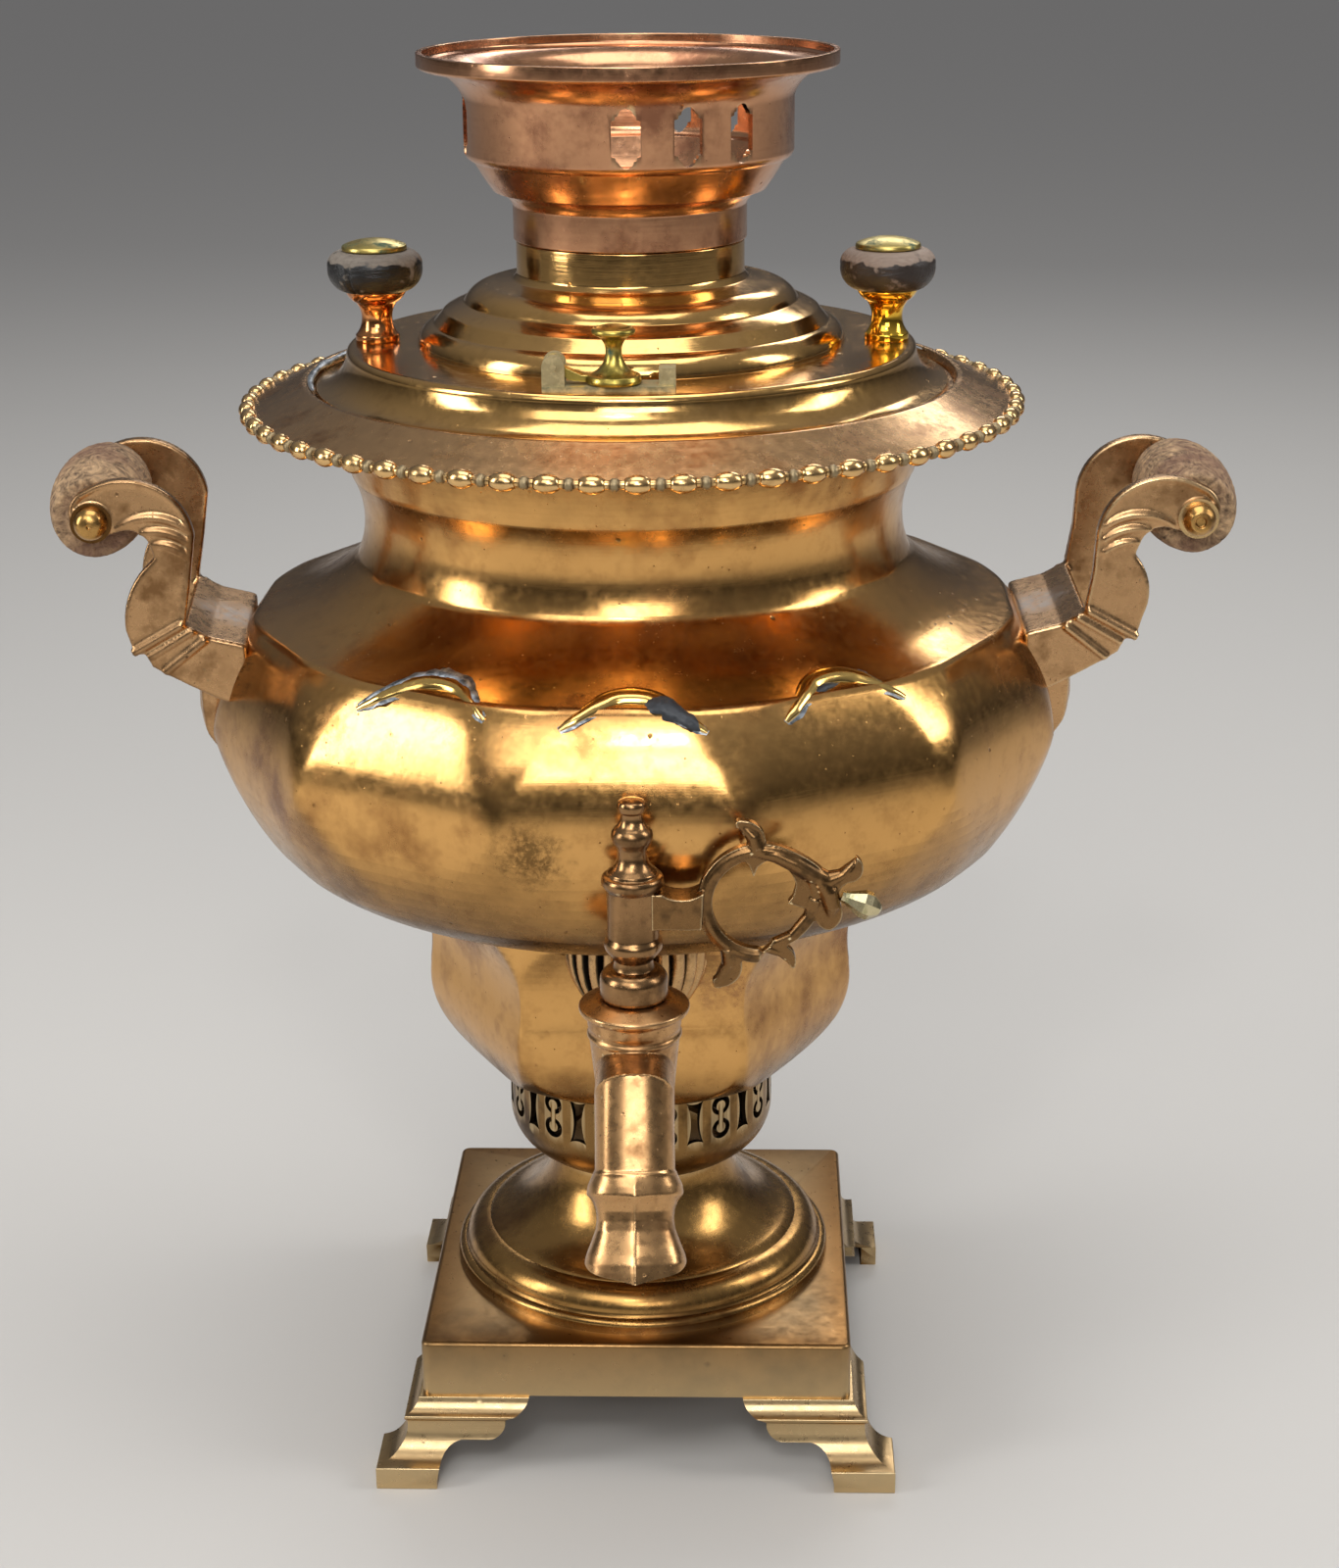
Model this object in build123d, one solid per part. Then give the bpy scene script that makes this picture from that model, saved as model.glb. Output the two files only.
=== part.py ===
from build123d import *
from math import atan2, cos, degrees, pi, radians, sin, sqrt
import os

# A charcoal-fired samovar: a faceted brass vase on a square foot, a fire tube up its
# middle, a pierced air ring below, a stepped lid with a teapot crown on top, two
# scroll handles with wooden grips and a plug tap with an openwork key.
# Millimetres. The origin is on the floor under the turning axis, +Z is up and the
# tap points towards -Y.

# ---- Driving dimensions -------------------------------------------------------

# Standing parts, from the floor up
foot_height = 29.5
foot_pad_height = 8.5
foot_wall = 6.0
foot_reach = 39.0           # how near to the middle of a side a foot's wing comes
plinth_half = 78.0
foot_spread = plinth_half + 16.0    # half the span over the feet at the floor
plinth_height = 21.5
plinth_corner = 3.5
pedestal_height = 44.0
pedestal_base_radius = plinth_half - 7.0
pedestal_crease_radius = pedestal_base_radius - 13.3
gallery_height = 40.5
gallery_repeats = 14

# Fire tube, and the round pieces whose size follows from it
fire_tube_radius = 37.3     # outside, where it passes through the lid
fire_chamber_radius = fire_tube_radius + 5.7    # outside, at the grate
fire_tube_wall = 2.5
fire_tube_stands_proud = 9.0
grate_thickness = 4.0
gallery_radius = fire_chamber_radius + 6.4
pedestal_top_radius = gallery_radius - 16.4

# Vessel
bowl_height = 81.5          # from the gallery to the inside corner under the belly
bowl_radius = 79.5
bowl_facets = 6
belly_rise = 54.0           # from that corner up to the widest level
belly_radius = 151.8
belly_facets = 12
shoulder_height = 55.0
neck_height = 54.0
neck_radius = 94.5
sheet = 2.0                 # wall of the spun and pressed brass pieces
bend_step = 20.0            # degrees between the straight runs of a round stretch
collar_height = 11.0
collar_radius = neck_radius + 37.5
bead_count = 60
bead_radius = 2.3

# Lid and what stands on it
lid_rim_radius = neck_radius + 14.8
lid_height = 49.5
lid_neck_clearance = 0.35
knob_spacing = lid_rim_radius - 21.3    # from the turning axis
knob_stem_height = 17.5
knob_wood_height = 13.5
knob_wood_radius = 16.3
knob_cap_height = 4.0
vent_radius = lid_rim_radius - 23.3     # from the turning axis
vent_length = 42.0
vent_pin_radius = 1.1

# Crown
crown_height = 62.0
crown_band_radius = fire_tube_radius + 18.5
crown_lip_radius = crown_band_radius + 15.1
crown_window_height = 19.0
crown_window_width = 9.5
window_pitch = 21.0         # degrees between the windows of a group

# Handles
handle_reach = 41.0         # from the widest of the belly out to the grip's rod
handle_rise = 76.0          # from that level up to the rod
left_handle_yaw = 6.5       # degrees, how far the left handle was soldered off square
left_curl_back = 8.0        # how far the left handle's curl is bent back to the body
left_curl_up = 4.0
ear_span = 68.0             # over the outer faces of a handle's two ears
ear_thickness = 4.5
grip_radius = 17.0
grip_end_radius = 13.5
grip_rod_radius = 3.0
bracket_plate = 3.0
boss_radius = 6.3

# Tap
tap_yaw = 1.8               # degrees, how far the soldered tap stands off square
tap_reach = belly_radius + 6.2      # from the turning axis to the plug's axis
spigot_drop = 18.0          # from the inside corner under the belly down to the spigot
spigot_radius = 9.5
water_way_radius = 5.5
housing_radius = 14.3
housing_height = 46.0
housing_flange_radius = housing_radius + 3.0
plug_top_radius = 9.0
plug_taper = 2.0            # how much slimmer the plug is at its lower end
plug_clearance = 0.08
solder_gap = 0.05           # between pieces that are soldered or driven together
spout_radius = 12.0
spout_tilt = 25.0           # degrees from the vertical, forwards
spout_drop = 44.0           # from the spigot down to the spout's mouth
lever_thickness = 5.0

# ---- Levels worked out from them -----------------------------------------------

plinth_top = foot_height + plinth_height
gallery_bottom = plinth_top + pedestal_height
vessel_bottom_level = gallery_bottom + gallery_height
waist_level = vessel_bottom_level + bowl_height
belly_level = waist_level + belly_rise
neck_level = belly_level + shoulder_height
collar_level = neck_level + neck_height
lid_seat_level = collar_level + 7.5
lid_top = lid_seat_level + lid_height
tube_top = lid_top + fire_tube_stands_proud
spigot_level = waist_level - spigot_drop
spout_mouth_level = spigot_level - spout_drop


# ---- Ways of making ------------------------------------------------------------

def face_of(start, *steps):
    """A closed face in the XZ plane. A step is a point, or a pair of points for an arc.

    An arc is drawn as straight runs that turn by bend_step at most, so that a turned
    piece is made of cones.
    """
    points = [start]
    for step in steps:
        if isinstance(step[0], tuple):
            arc = ThreePointArc(points[-1], step[0], step[1])
            runs = max(1, round(arc.length / arc.radius / radians(bend_step)))
            for run in range(1, runs):
                point = arc @ (run / runs)
                points.append((point.X, point.Y))
            points.append(step[1])
        elif step != points[-1]:
            points.append(step)
    return make_face(Plane.XZ * Polyline(*points, close=True))


def turned(start, *steps):
    """A piece turned about the Z axis from its (radius, height) outline."""
    return revolve(face_of(start, *steps), Axis.Z)


def rod(radius, low, high, x=0.0, y=0.0):
    return Pos(x, y, (low + high) / 2) * Cylinder(radius, high - low)


def crowned(radius, low, rise):
    """The arc of a dome from its rim at a radius to the Z axis."""
    ball = (radius ** 2 + rise ** 2) / (2 * rise)
    drop = ball - sqrt(ball ** 2 - (radius / 2) ** 2)
    return ((radius / 2, low + rise - drop), (0, low + rise))


def save(name, shape):
    export_step(shape, f"parts/{name}.step")


os.makedirs("parts", exist_ok=True)


# ---- Square plinth: a hollow cast tray, open below -------------------------------

side = 2 * plinth_half
plinth = Pos(0, 0, foot_height + plinth_height / 2) * Box(side, side, plinth_height)
plinth = fillet(plinth.edges().filter_by(Axis.Z), plinth_corner)
plinth = fillet(plinth.faces().sort_by(Axis.Z)[-1].edges(), 1.6)
inside = side - 2 * 3.0
hollow = plinth_height - 3.0
plinth -= Pos(0, 0, foot_height + hollow / 2 - 1) * Box(inside, inside, hollow + 2)
plinth -= rod(pedestal_crease_radius - 8, foot_height, plinth_top + 1)
save("plinth", plinth)


# ---- Bracket feet: two mitred wings, an ogee flare and a flat pad -----------------

def flare(inset):
    """The feet's outline at each height, from the axis outwards, pulled in by a wall."""
    out = plinth_half - inset
    pad = foot_spread - inset
    top = foot_height
    return face_of(
        (0, 0), (pad, 0), (pad, foot_pad_height),
        ((out + 8.6, foot_pad_height + 3.4), (out + 5.2, top - 9.0)),
        (out + 5.2, top - 7.2), (out + 6.2, top - 6.6), (out + 6.2, top - 5.4),
        ((out + 2.8, top - 3.4), (out + 1.2, top)),
        (0, top),
    )


def mitred(section):
    """A section run out along two sides of the square, mitred at the corner."""
    along_front = Rot(0, 0, -90) * extrude(section, -2 * foot_spread)
    along_side = extrude(section, 2 * foot_spread)
    return along_front & along_side


def wing_outline():
    edge = foot_reach
    top = foot_height
    pad_end = foot_spread - 22
    far = foot_spread + 5
    return face_of(
        (far, -1), (far, top + 1), (edge, top + 1), (edge, top),
        ((edge + 1.2, top - 3.0), (edge + 4.2, top - 5.2)),
        (edge + 8.0, top - 6.4), (edge + 8.6, top - 7.4),
        ((edge + 10.2, top - 12.6), (edge + 14.5, top - 14.6)),
        (pad_end - 8.5, top - 14.6),
        ((pad_end - 3.6, top - 17.0), (pad_end - 1.0, foot_pad_height)),
        (pad_end, 3.0), (pad_end, -1),
    )


foot = mitred(flare(0)) - mitred(flare(foot_wall)) & mitred(wing_outline())
for turn, name in enumerate(("front_right", "rear_right", "rear_left", "front_left")):
    save(f"foot_{name}", Rot(0, 0, 90 * turn) * foot)


# ---- Pedestal: a spun bell, hollow, standing on the plinth ------------------------

def bell(inset):
    top = pedestal_top_radius - inset
    crease = pedestal_crease_radius - inset
    base = pedestal_base_radius - inset
    waist = top + 0.30 * (crease - top)
    return (
        (top, gallery_bottom),
        ((waist, plinth_top + 0.60 * pedestal_height), (crease, plinth_top + 15.5 - inset)),
        (crease + 1.0, plinth_top + 14.5 - inset),
        ((base - 5.6, plinth_top + 11.6 - inset), (base - 3.4, plinth_top + 6.2 - inset)),
        (base - 2.6, plinth_top + 5.2 - inset),
        ((base - 0.6, plinth_top + 4.4 - inset), (base, plinth_top + 2.6 - inset)),
    )


def closed(steps):
    """The outline between a stepped line and the Z axis."""
    last = steps[-1]
    end = last[1] if isinstance(last[0], tuple) else last
    return ((0, steps[0][1]), *steps, (end[0], plinth_top), (0, plinth_top))


pedestal = turned(*closed(bell(0))) - turned(*closed(bell(sheet)))
save("pedestal", pedestal)


# ---- Air gallery: a cup pierced in turn with spool holes and pairs of scroll holes ----

cup = vessel_bottom_level - gallery_bottom
gallery_lip = 4.4
gallery = turned(
    (gallery_radius, vessel_bottom_level), (gallery_radius, gallery_bottom + 0.44 * cup),
    ((gallery_radius - 3.6, gallery_bottom + 0.20 * cup),
     (gallery_radius - 13.0, gallery_bottom + 2.0)),
    (pedestal_top_radius, gallery_bottom), (pedestal_top_radius - 4, gallery_bottom),
    (pedestal_top_radius - 4, gallery_bottom + sheet),
    (gallery_radius - 13.5, gallery_bottom + 2.0 + sheet),
    ((gallery_radius - 5.3, gallery_bottom + 0.22 * cup),
     (gallery_radius - sheet, gallery_bottom + 0.46 * cup)),
    (gallery_radius - sheet, vessel_bottom_level - 2.0),
    (gallery_radius - gallery_lip, vessel_bottom_level - 2.0),
    (gallery_radius - gallery_lip, vessel_bottom_level),
)
pierced_level = gallery_bottom + 0.70 * cup
spool = make_face(Polyline(
    (-3.2, -8.4), (3.2, -8.4), (1.9, -4.6), (1.9, 4.6), (3.2, 8.4), (-3.2, 8.4),
    (-1.9, 4.6), (-1.9, -4.6), close=True))
scroll_eye = RegularPolygon(4.1, 8) - RegularPolygon(1.6, 6) - Pos(0, -2.4) * Rectangle(1.3, 4.2)
scrolls = Pos(0, 4.5) * scroll_eye + Pos(0, -4.5) * (Rot(0, 0, 180) * scroll_eye)
gallery_step = 360 / gallery_repeats
cutters = []
for number in range(gallery_repeats):
    for hole, shift in ((spool, 0.0), (scrolls, 0.5)):
        cutter = extrude(Plane.XZ * hole, 2 * sheet)
        turn = Rot(0, 0, (number + shift) * gallery_step)
        cutters.append(turn * Pos(0, 1.4 * sheet - gallery_radius, pierced_level) * cutter)
gallery -= cutters
save("air_gallery", gallery)


# ---- Vessel: a spun vase pressed into facets, six on the bowl and twelve on the belly --

def vase_half(inset, extra):
    """Half the vase from the axis out, pulled in by a wall; extra lengthens its open ends."""
    g = gallery_radius
    b = bowl_radius
    w = belly_radius
    n = neck_radius
    t = inset
    low = vessel_bottom_level
    waist = waist_level
    wide = belly_level
    neck = neck_level
    return (
        (0, low - extra), (g - t, low - extra), (g - t, low + 0.3 * t),
        ((g + 15.4 - 0.5 * t, low + 4.4 + 0.9 * t), (b - 5.4 - 0.8 * t, low + 12.6 + 0.6 * t)),
        ((b - 2.1 - t, low + 20.0), (b - 1.2 - t, low + 32.0)),
        (b - t, waist - 7.0),
        ((b + 2.0 - 0.7 * t, waist - 2.0 + 0.7 * t), (b + 7.0, waist + t)),
        ((w - 38.8, waist + 1.8 + t), (w - 18.8 - 0.6 * t, waist + 14.0 + 0.8 * t)),
        ((w - 6.0 - 0.9 * t, wide - 17.5 + 0.4 * t), (w - t, wide)),
        ((w - 4.2 - 0.9 * t, wide + 17.5), (w - 17.8 - 0.8 * t, wide + 39.2 - 0.6 * t)),
        ((n + 19.0, neck - 9.0 - t), (n + 3.0 - 0.7 * t, neck + 3.0 - 0.7 * t)),
        ((n - t, neck + 18.0), (n + 4.0 - t, neck + 33.0)),
        ((n + 7.2 - t, neck + 45.0), (n + 11.5 - t, collar_level)),
        (n + 11.5 - t, collar_level + extra), (0, collar_level + extra),
    )


def belly_press(inset):
    """Half the outline that flattens the belly into twelve facets."""
    flat = belly_radius * cos(pi / belly_facets) - inset
    return (
        (0, vessel_bottom_level - 20), (flat - 31, vessel_bottom_level - 20),
        (flat - 31, waist_level + inset),
        ((flat, belly_level), (flat - 33.5, neck_level - inset)),
        (flat - 33.5, collar_level + 20), (0, collar_level + 20),
    )


def bowl_press(inset):
    """Half the outline that flattens the bowl into six facets."""
    flat = (bowl_radius - 1.4) * cos(pi / bowl_facets) - inset
    low = vessel_bottom_level + inset
    far = belly_radius + 20
    return (
        (0, low - 20), (flat - 9.5, low - 20), (flat - 9.5, low + 0.5),
        ((flat - 1.4, low + 14.0), (flat, low + 36.0)),
        ((flat + 2.6, low + 60.0), (bowl_radius + 1 - inset, waist_level - 5)),
        (far, waist_level - 5), (far, collar_level + 20), (0, collar_level + 20),
    )


def vase(inset, extra):
    form = turned(*vase_half(inset, extra))
    for press, facets in ((belly_press, belly_facets), (bowl_press, bowl_facets)):
        half = face_of(*press(inset))
        slab = extrude(half + mirror(half, Plane.YZ), 2 * belly_radius, both=True)
        for number in range(facets // 2):
            form &= Rot(0, 0, 90 + 360 / facets * number) * slab
    return form


vase_solid = vase(0, 0)
vessel = vase_solid - vase(sheet, sheet + 1)
spigot_tail_radius = spigot_radius - 1.5
tap_turn = Rot(0, 0, tap_yaw)


def along_tap(radius, near, far, level):
    """A round bar lying towards -Y, from a near to a far distance off the turning axis."""
    bar = Rot(90, 0, 0) * Cylinder(radius, far - near)
    return Pos(0, -(near + far) / 2, level) * bar


vessel -= tap_turn * along_tap(spigot_tail_radius + solder_gap, 20, belly_radius, spigot_level)

# The vase is soldered up from four rings, whose seams lie just under its inside corner,
# at its widest level and at the foot of its neck.

seams = (vessel_bottom_level, waist_level - 7.0, belly_level, neck_level, collar_level)
for name, low, high in zip(("bowl", "belly", "shoulder", "neck"), seams, seams[1:]):
    slice_box = Pos(0, 0, (low + high) / 2) * Box(3 * belly_radius, 3 * belly_radius, high - low)
    save(f"vessel_{name}", vessel & slice_box)

vessel_bottom = rod(gallery_radius - sheet - 0.05, vessel_bottom_level, vessel_bottom_level + 2.5)
vessel_bottom -= rod(fire_chamber_radius + 0.05, 0, vessel_bottom_level + 5)
save("vessel_bottom", vessel_bottom)


# ---- Collar ring: the sloping brim soldered on the neck, with a beaded edge ------------

neck_top = neck_radius + 11.5
brim = face_of(
    (neck_top - sheet, collar_level), (neck_top + 1.5, collar_level),
    (neck_top + 3.5, collar_level + 4.5), (neck_top + 7.5, collar_level + 8.0),
    (collar_radius - 0.5, collar_level + 0.8), (collar_radius + 0.3, collar_level + 2.8),
    (neck_top + 8.0, collar_level + collar_height),
    (neck_top + 6.3, collar_level + collar_height),
    (neck_top + 5.2, lid_seat_level), (neck_top - sheet, lid_seat_level),
)
collar = revolve(brim, Axis.Z)
bead_level = collar_level + 1.8
wire = Plane.XZ * Pos(collar_radius, bead_level) * RegularPolygon(1.7, 6)
collar += revolve(wire, Axis.Z)
bead_half = 3.3
half_bead = extrude(RegularPolygon(bead_radius, 8), bead_half, taper=14)
bead = Rot(90, 0, 0) * (half_bead + mirror(half_bead, Plane.XY))
beads = []
for number in range(bead_count):
    seat = Rot(0, 0, 360 / bead_count * (number + 0.5)) * Pos(collar_radius, 0, bead_level)
    beads.append(seat * bead)
collar += beads
save("collar_ring", collar)


# ---- Fire tube with its grate: charcoal burns in it, and it passes up through the lid ----

tube_foot = vessel_bottom_level - 4.0
taper_start = waist_level - 20
inner_top = fire_tube_radius - fire_tube_wall
inner_chamber = fire_chamber_radius - fire_tube_wall
fire_tube = turned(
    (fire_chamber_radius, tube_foot), (fire_chamber_radius, taper_start),
    (fire_tube_radius, neck_level), (fire_tube_radius, tube_top),
    (inner_top, tube_top), (inner_top, neck_level), (inner_chamber, taper_start),
    (inner_chamber, vessel_bottom_level), (inner_chamber - 3.5, vessel_bottom_level),
    (inner_chamber - 3.5, tube_foot),
)
save("fire_tube", fire_tube)

grate = rod(inner_chamber - 0.3, vessel_bottom_level, vessel_bottom_level + grate_thickness)
grate_holes = [rod(6.5, 0, lid_top)]
for number in range(6):
    grate_holes.append(Rot(0, 0, 60 * number) * rod(8.0, 0, lid_top, x=0.6 * inner_chamber))
grate -= grate_holes
save("grate", grate)


# ---- Lid: pressed in steps up to a neck that slides over the fire tube -----------------

def lid_half():
    rim = lid_rim_radius
    neck = fire_tube_radius + lid_neck_clearance + 1.4
    seat = lid_seat_level
    shelf = seat + 14.5
    return (
        (rim, seat), (rim, seat + 1.8),
        ((rim - 7.0, seat + 4.6), (rim - 11.0, shelf - 2.5)),
        ((rim - 11.8, shelf - 0.6), (rim - 13.5, shelf)),
        (neck + 34.6, shelf),
        ((neck + 33.4, shelf + 4.4), (neck + 29.0, shelf + 7.4)),
        (neck + 25.4, shelf + 11.6),
        ((neck + 21.8, shelf + 13.4), (neck + 18.4, shelf + 14.6)),
        ((neck + 15.4, shelf + 18.4), (neck + 9.0, shelf + 20.6)),
        (neck + 1.5, shelf + 22.0), (neck, shelf + 24.0),
        (neck, lid_top), (0, lid_top), (0, seat),
    )


lid_bore = fire_tube_radius + lid_neck_clearance
lid_shelf = lid_seat_level + 14.5
lid = turned(*lid_half())
lid_inside = turned(
    (lid_rim_radius - sheet, lid_seat_level - 1), (lid_rim_radius - sheet, lid_seat_level),
    ((lid_rim_radius - 8.8, lid_seat_level + 3.0), (lid_rim_radius - 13.2, lid_shelf - 4.0)),
    (lid_rim_radius - 15.2, lid_shelf - sheet), (lid_bore + 35.0, lid_shelf - sheet),
    (lid_bore + 28.0, lid_shelf + 4.6), (lid_bore + 19.5, lid_shelf + 11.0),
    (lid_bore + 9.0, lid_shelf + 17.6), (lid_bore + 0.5, lid_shelf + 20.0),
    (0, lid_shelf + 20.0), (0, lid_seat_level - 1),
)
lid -= lid_inside
lid -= rod(lid_bore, 0, lid_top + 1)
vent_x = -3.5
vent_hole_x = vent_x + 1.5
steam_hole = rod(3.5, lid_seat_level, lid_top, x=vent_hole_x, y=-vent_radius)
lid -= steam_hole
save("lid", lid)

for side, name in ((-1, "left"), (1, "right")):
    place = Pos(side * knob_spacing, 0, lid_shelf)
    wood_low = knob_stem_height
    wood_high = wood_low + knob_wood_height
    stem = turned(
        (0, 0), (7.6, 0), (7.6, 2.2), (6.9, 3.0),
        ((5.3, 8.4), (7.2, 13.4)), ((9.4, 15.2), (10.6, wood_low)),
        (2.6, wood_low), (2.6, wood_high), (0, wood_high),
    )
    save(f"{name}_knob_stem", place * stem)
    wood = turned(
        (2.7, wood_low), (11.6, wood_low),
        ((knob_wood_radius - 0.6, wood_low + 4.0), (knob_wood_radius, wood_low + 8.0)),
        ((knob_wood_radius - 1.2, wood_high - 1.6), (11.2, wood_high)), (2.7, wood_high),
    )
    save(f"{name}_knob_wood", place * wood)
    cap = turned(
        (0, wood_high), (10.6, wood_high), (11.0, wood_high + 1.8),
        crowned(11.0, wood_high + 1.8, knob_cap_height - 1.8),
    )
    save(f"{name}_knob_cap", place * cap)


# ---- Steam vent: a base plate on the lid's front, and a hinged cap with a turned knob ---

vent_place = Pos(vent_x, -vent_radius, lid_shelf)
plate_height = 1.6
vent_pin_x = -17.5
vent_pin_height = 7.6
lug_radius = 3.6
lug_gap = 4.6
vent_base = Pos(0, 0, plate_height / 2) * Box(vent_length, 12, plate_height)
vent_base += Pos(vent_length / 2 - 2.6, 0, 3.6) * Box(5.2, 8, 7.2)
for end in (-1, 1):
    ear = Plane.XZ * (
        Pos(vent_pin_x, vent_pin_height) * Circle(lug_radius)
        + Pos(vent_pin_x, vent_pin_height / 2) * Rectangle(2 * lug_radius, vent_pin_height))
    ear = extrude(ear, 1.4, both=True)
    vent_base += Pos(0, end * (lug_gap / 2 + 1.4), 0) * ear
pin_line = Rot(90, 0, 0) * Cylinder(vent_pin_radius, 14)
pin_line = Pos(vent_pin_x, 0, vent_pin_height) * pin_line
vent_base -= pin_line
vent_base -= rod(3.5, -1, 5, x=vent_hole_x - vent_x)
save("vent_base", vent_place * vent_base)

vent_pin = Rot(90, 0, 0) * (Cylinder(vent_pin_radius, 11.2))
save("vent_pin", vent_place * Pos(vent_pin_x, 0, vent_pin_height) * vent_pin)

cap_x = vent_hole_x - vent_x
cap_low = plate_height + 0.3
vent_cap = Pos(cap_x, 0, 0) * turned(
    (0, cap_low), (8.6, cap_low), (9.0, cap_low + 1.0), (8.4, cap_low + 2.6),
    ((4.4, 7.0), (2.6, 11.6)), ((3.4, 15.0), (6.6, 17.4)),
    ((6.9, 18.6), (5.6, 19.4)), crowned(5.6, 19.4, 1.0),
)
arm_width = lug_gap - 0.6
arm = Plane.XZ * (
    Pos(vent_pin_x, vent_pin_height) * Circle(lug_radius - 0.4)
    + make_face(Polyline(
        (vent_pin_x, vent_pin_height + lug_radius - 0.6), (vent_pin_x + 4, 6.4),
        (cap_x - 4, 4.4), (cap_x - 4, cap_low), (vent_pin_x + 5, cap_low + 1.0),
        (vent_pin_x - 1, vent_pin_height - lug_radius + 0.6), close=True)))
vent_cap += extrude(arm, arm_width / 2, both=True)
vent_cap -= Pos(vent_pin_x, 0, vent_pin_height) * (
    Rot(90, 0, 0) * Cylinder(vent_pin_radius + 0.08, 14))
save("vent_cap", vent_place * vent_cap)


# ---- Crown: the gallery-sided ring over the tube that a teapot stands in ---------------

crown_foot = lid_top + 0.4
crown_top = crown_foot + crown_height
crown_socket = fire_tube_radius + lid_neck_clearance + 2.2


def crown_half(inset):
    lip = crown_lip_radius - inset
    band = crown_band_radius - inset
    socket = crown_socket - inset
    top = crown_top
    foot = crown_foot
    up = inset * 0.8
    return (
        (lip, top), (lip, top - 4.5 + up), (lip - 1.2, top - 5.4 + up),
        ((band + 4.0, top - 8.8 + up), (band + 0.6, top - 13.2)),
        (band, top - 15.0), (band, foot + 29.5 + up),
        ((band - 1.0, foot + 27.5 + up), (band - 3.0, foot + 26.4 + up)),
        ((band - 6.2, foot + 21.0 + up), (socket + 6.5, foot + 16.4 + up)),
        ((socket + 2.0, foot + 14.4 + up), (socket, foot + 11.6)),
    )


def ring_solid(steps):
    last = steps[-1][1]
    return turned((0, steps[0][1]), *steps, (last[0], crown_foot), (0, crown_foot))


crown = ring_solid(crown_half(0)) - ring_solid(crown_half(sheet))
crown -= rod(crown_lip_radius - sheet, crown_top - 3, crown_top + 1)
crown_ledge = rod(crown_socket - sheet + 0.01, tube_top, tube_top + 1.6)
crown_ledge -= rod(inner_top, 0, crown_top)
crown += crown_ledge
window_level = crown_foot + 38.5
half_tall = crown_window_height / 2
nib = 2.7
window = Rectangle(crown_window_width, crown_window_height - 7.0)
window += Rectangle(2 * nib + 1.4, crown_window_height - 4.4)
for end in (-1, 1):
    window += Pos(0, end * (half_tall - nib)) * RegularPolygon(nib, 8)
openings = []
for group in range(3):
    for number in (-1, 0, 1):
        turn = 22.4 + 120 * group + window_pitch * number
        cutter = extrude(Plane.XZ * window, 3 * sheet)
        place = Pos(0, 2 * sheet - crown_band_radius, window_level)
        openings.append(Rot(0, 0, turn) * place * cutter)
crown -= openings
save("crown", crown)


# ---- Handles: cast brackets of two scrolled ears with a leaf below, and turned grips ------

def strip(start, end, width):
    """A flat bar in the XZ plane, from one point to another."""
    run = Vector(end[0] - start[0], end[1] - start[1])
    middle = ((start[0] + end[0]) / 2, (start[1] + end[1]) / 2)
    slope = degrees(atan2(run.Y, run.X))
    return Plane.XZ * (Pos(*middle) * Rot(0, 0, slope) * Rectangle(run.length, width))


def both_ears(face, thickness, proud=0.0):
    """An outline extruded as a slice on the front ear and as one on the rear ear."""
    outer = ear_span / 2 + proud
    front = Pos(0, -outer + thickness, 0) * extrude(face, thickness, dir=(0, -1, 0))
    return front + mirror(front, Plane.XZ)


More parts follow.
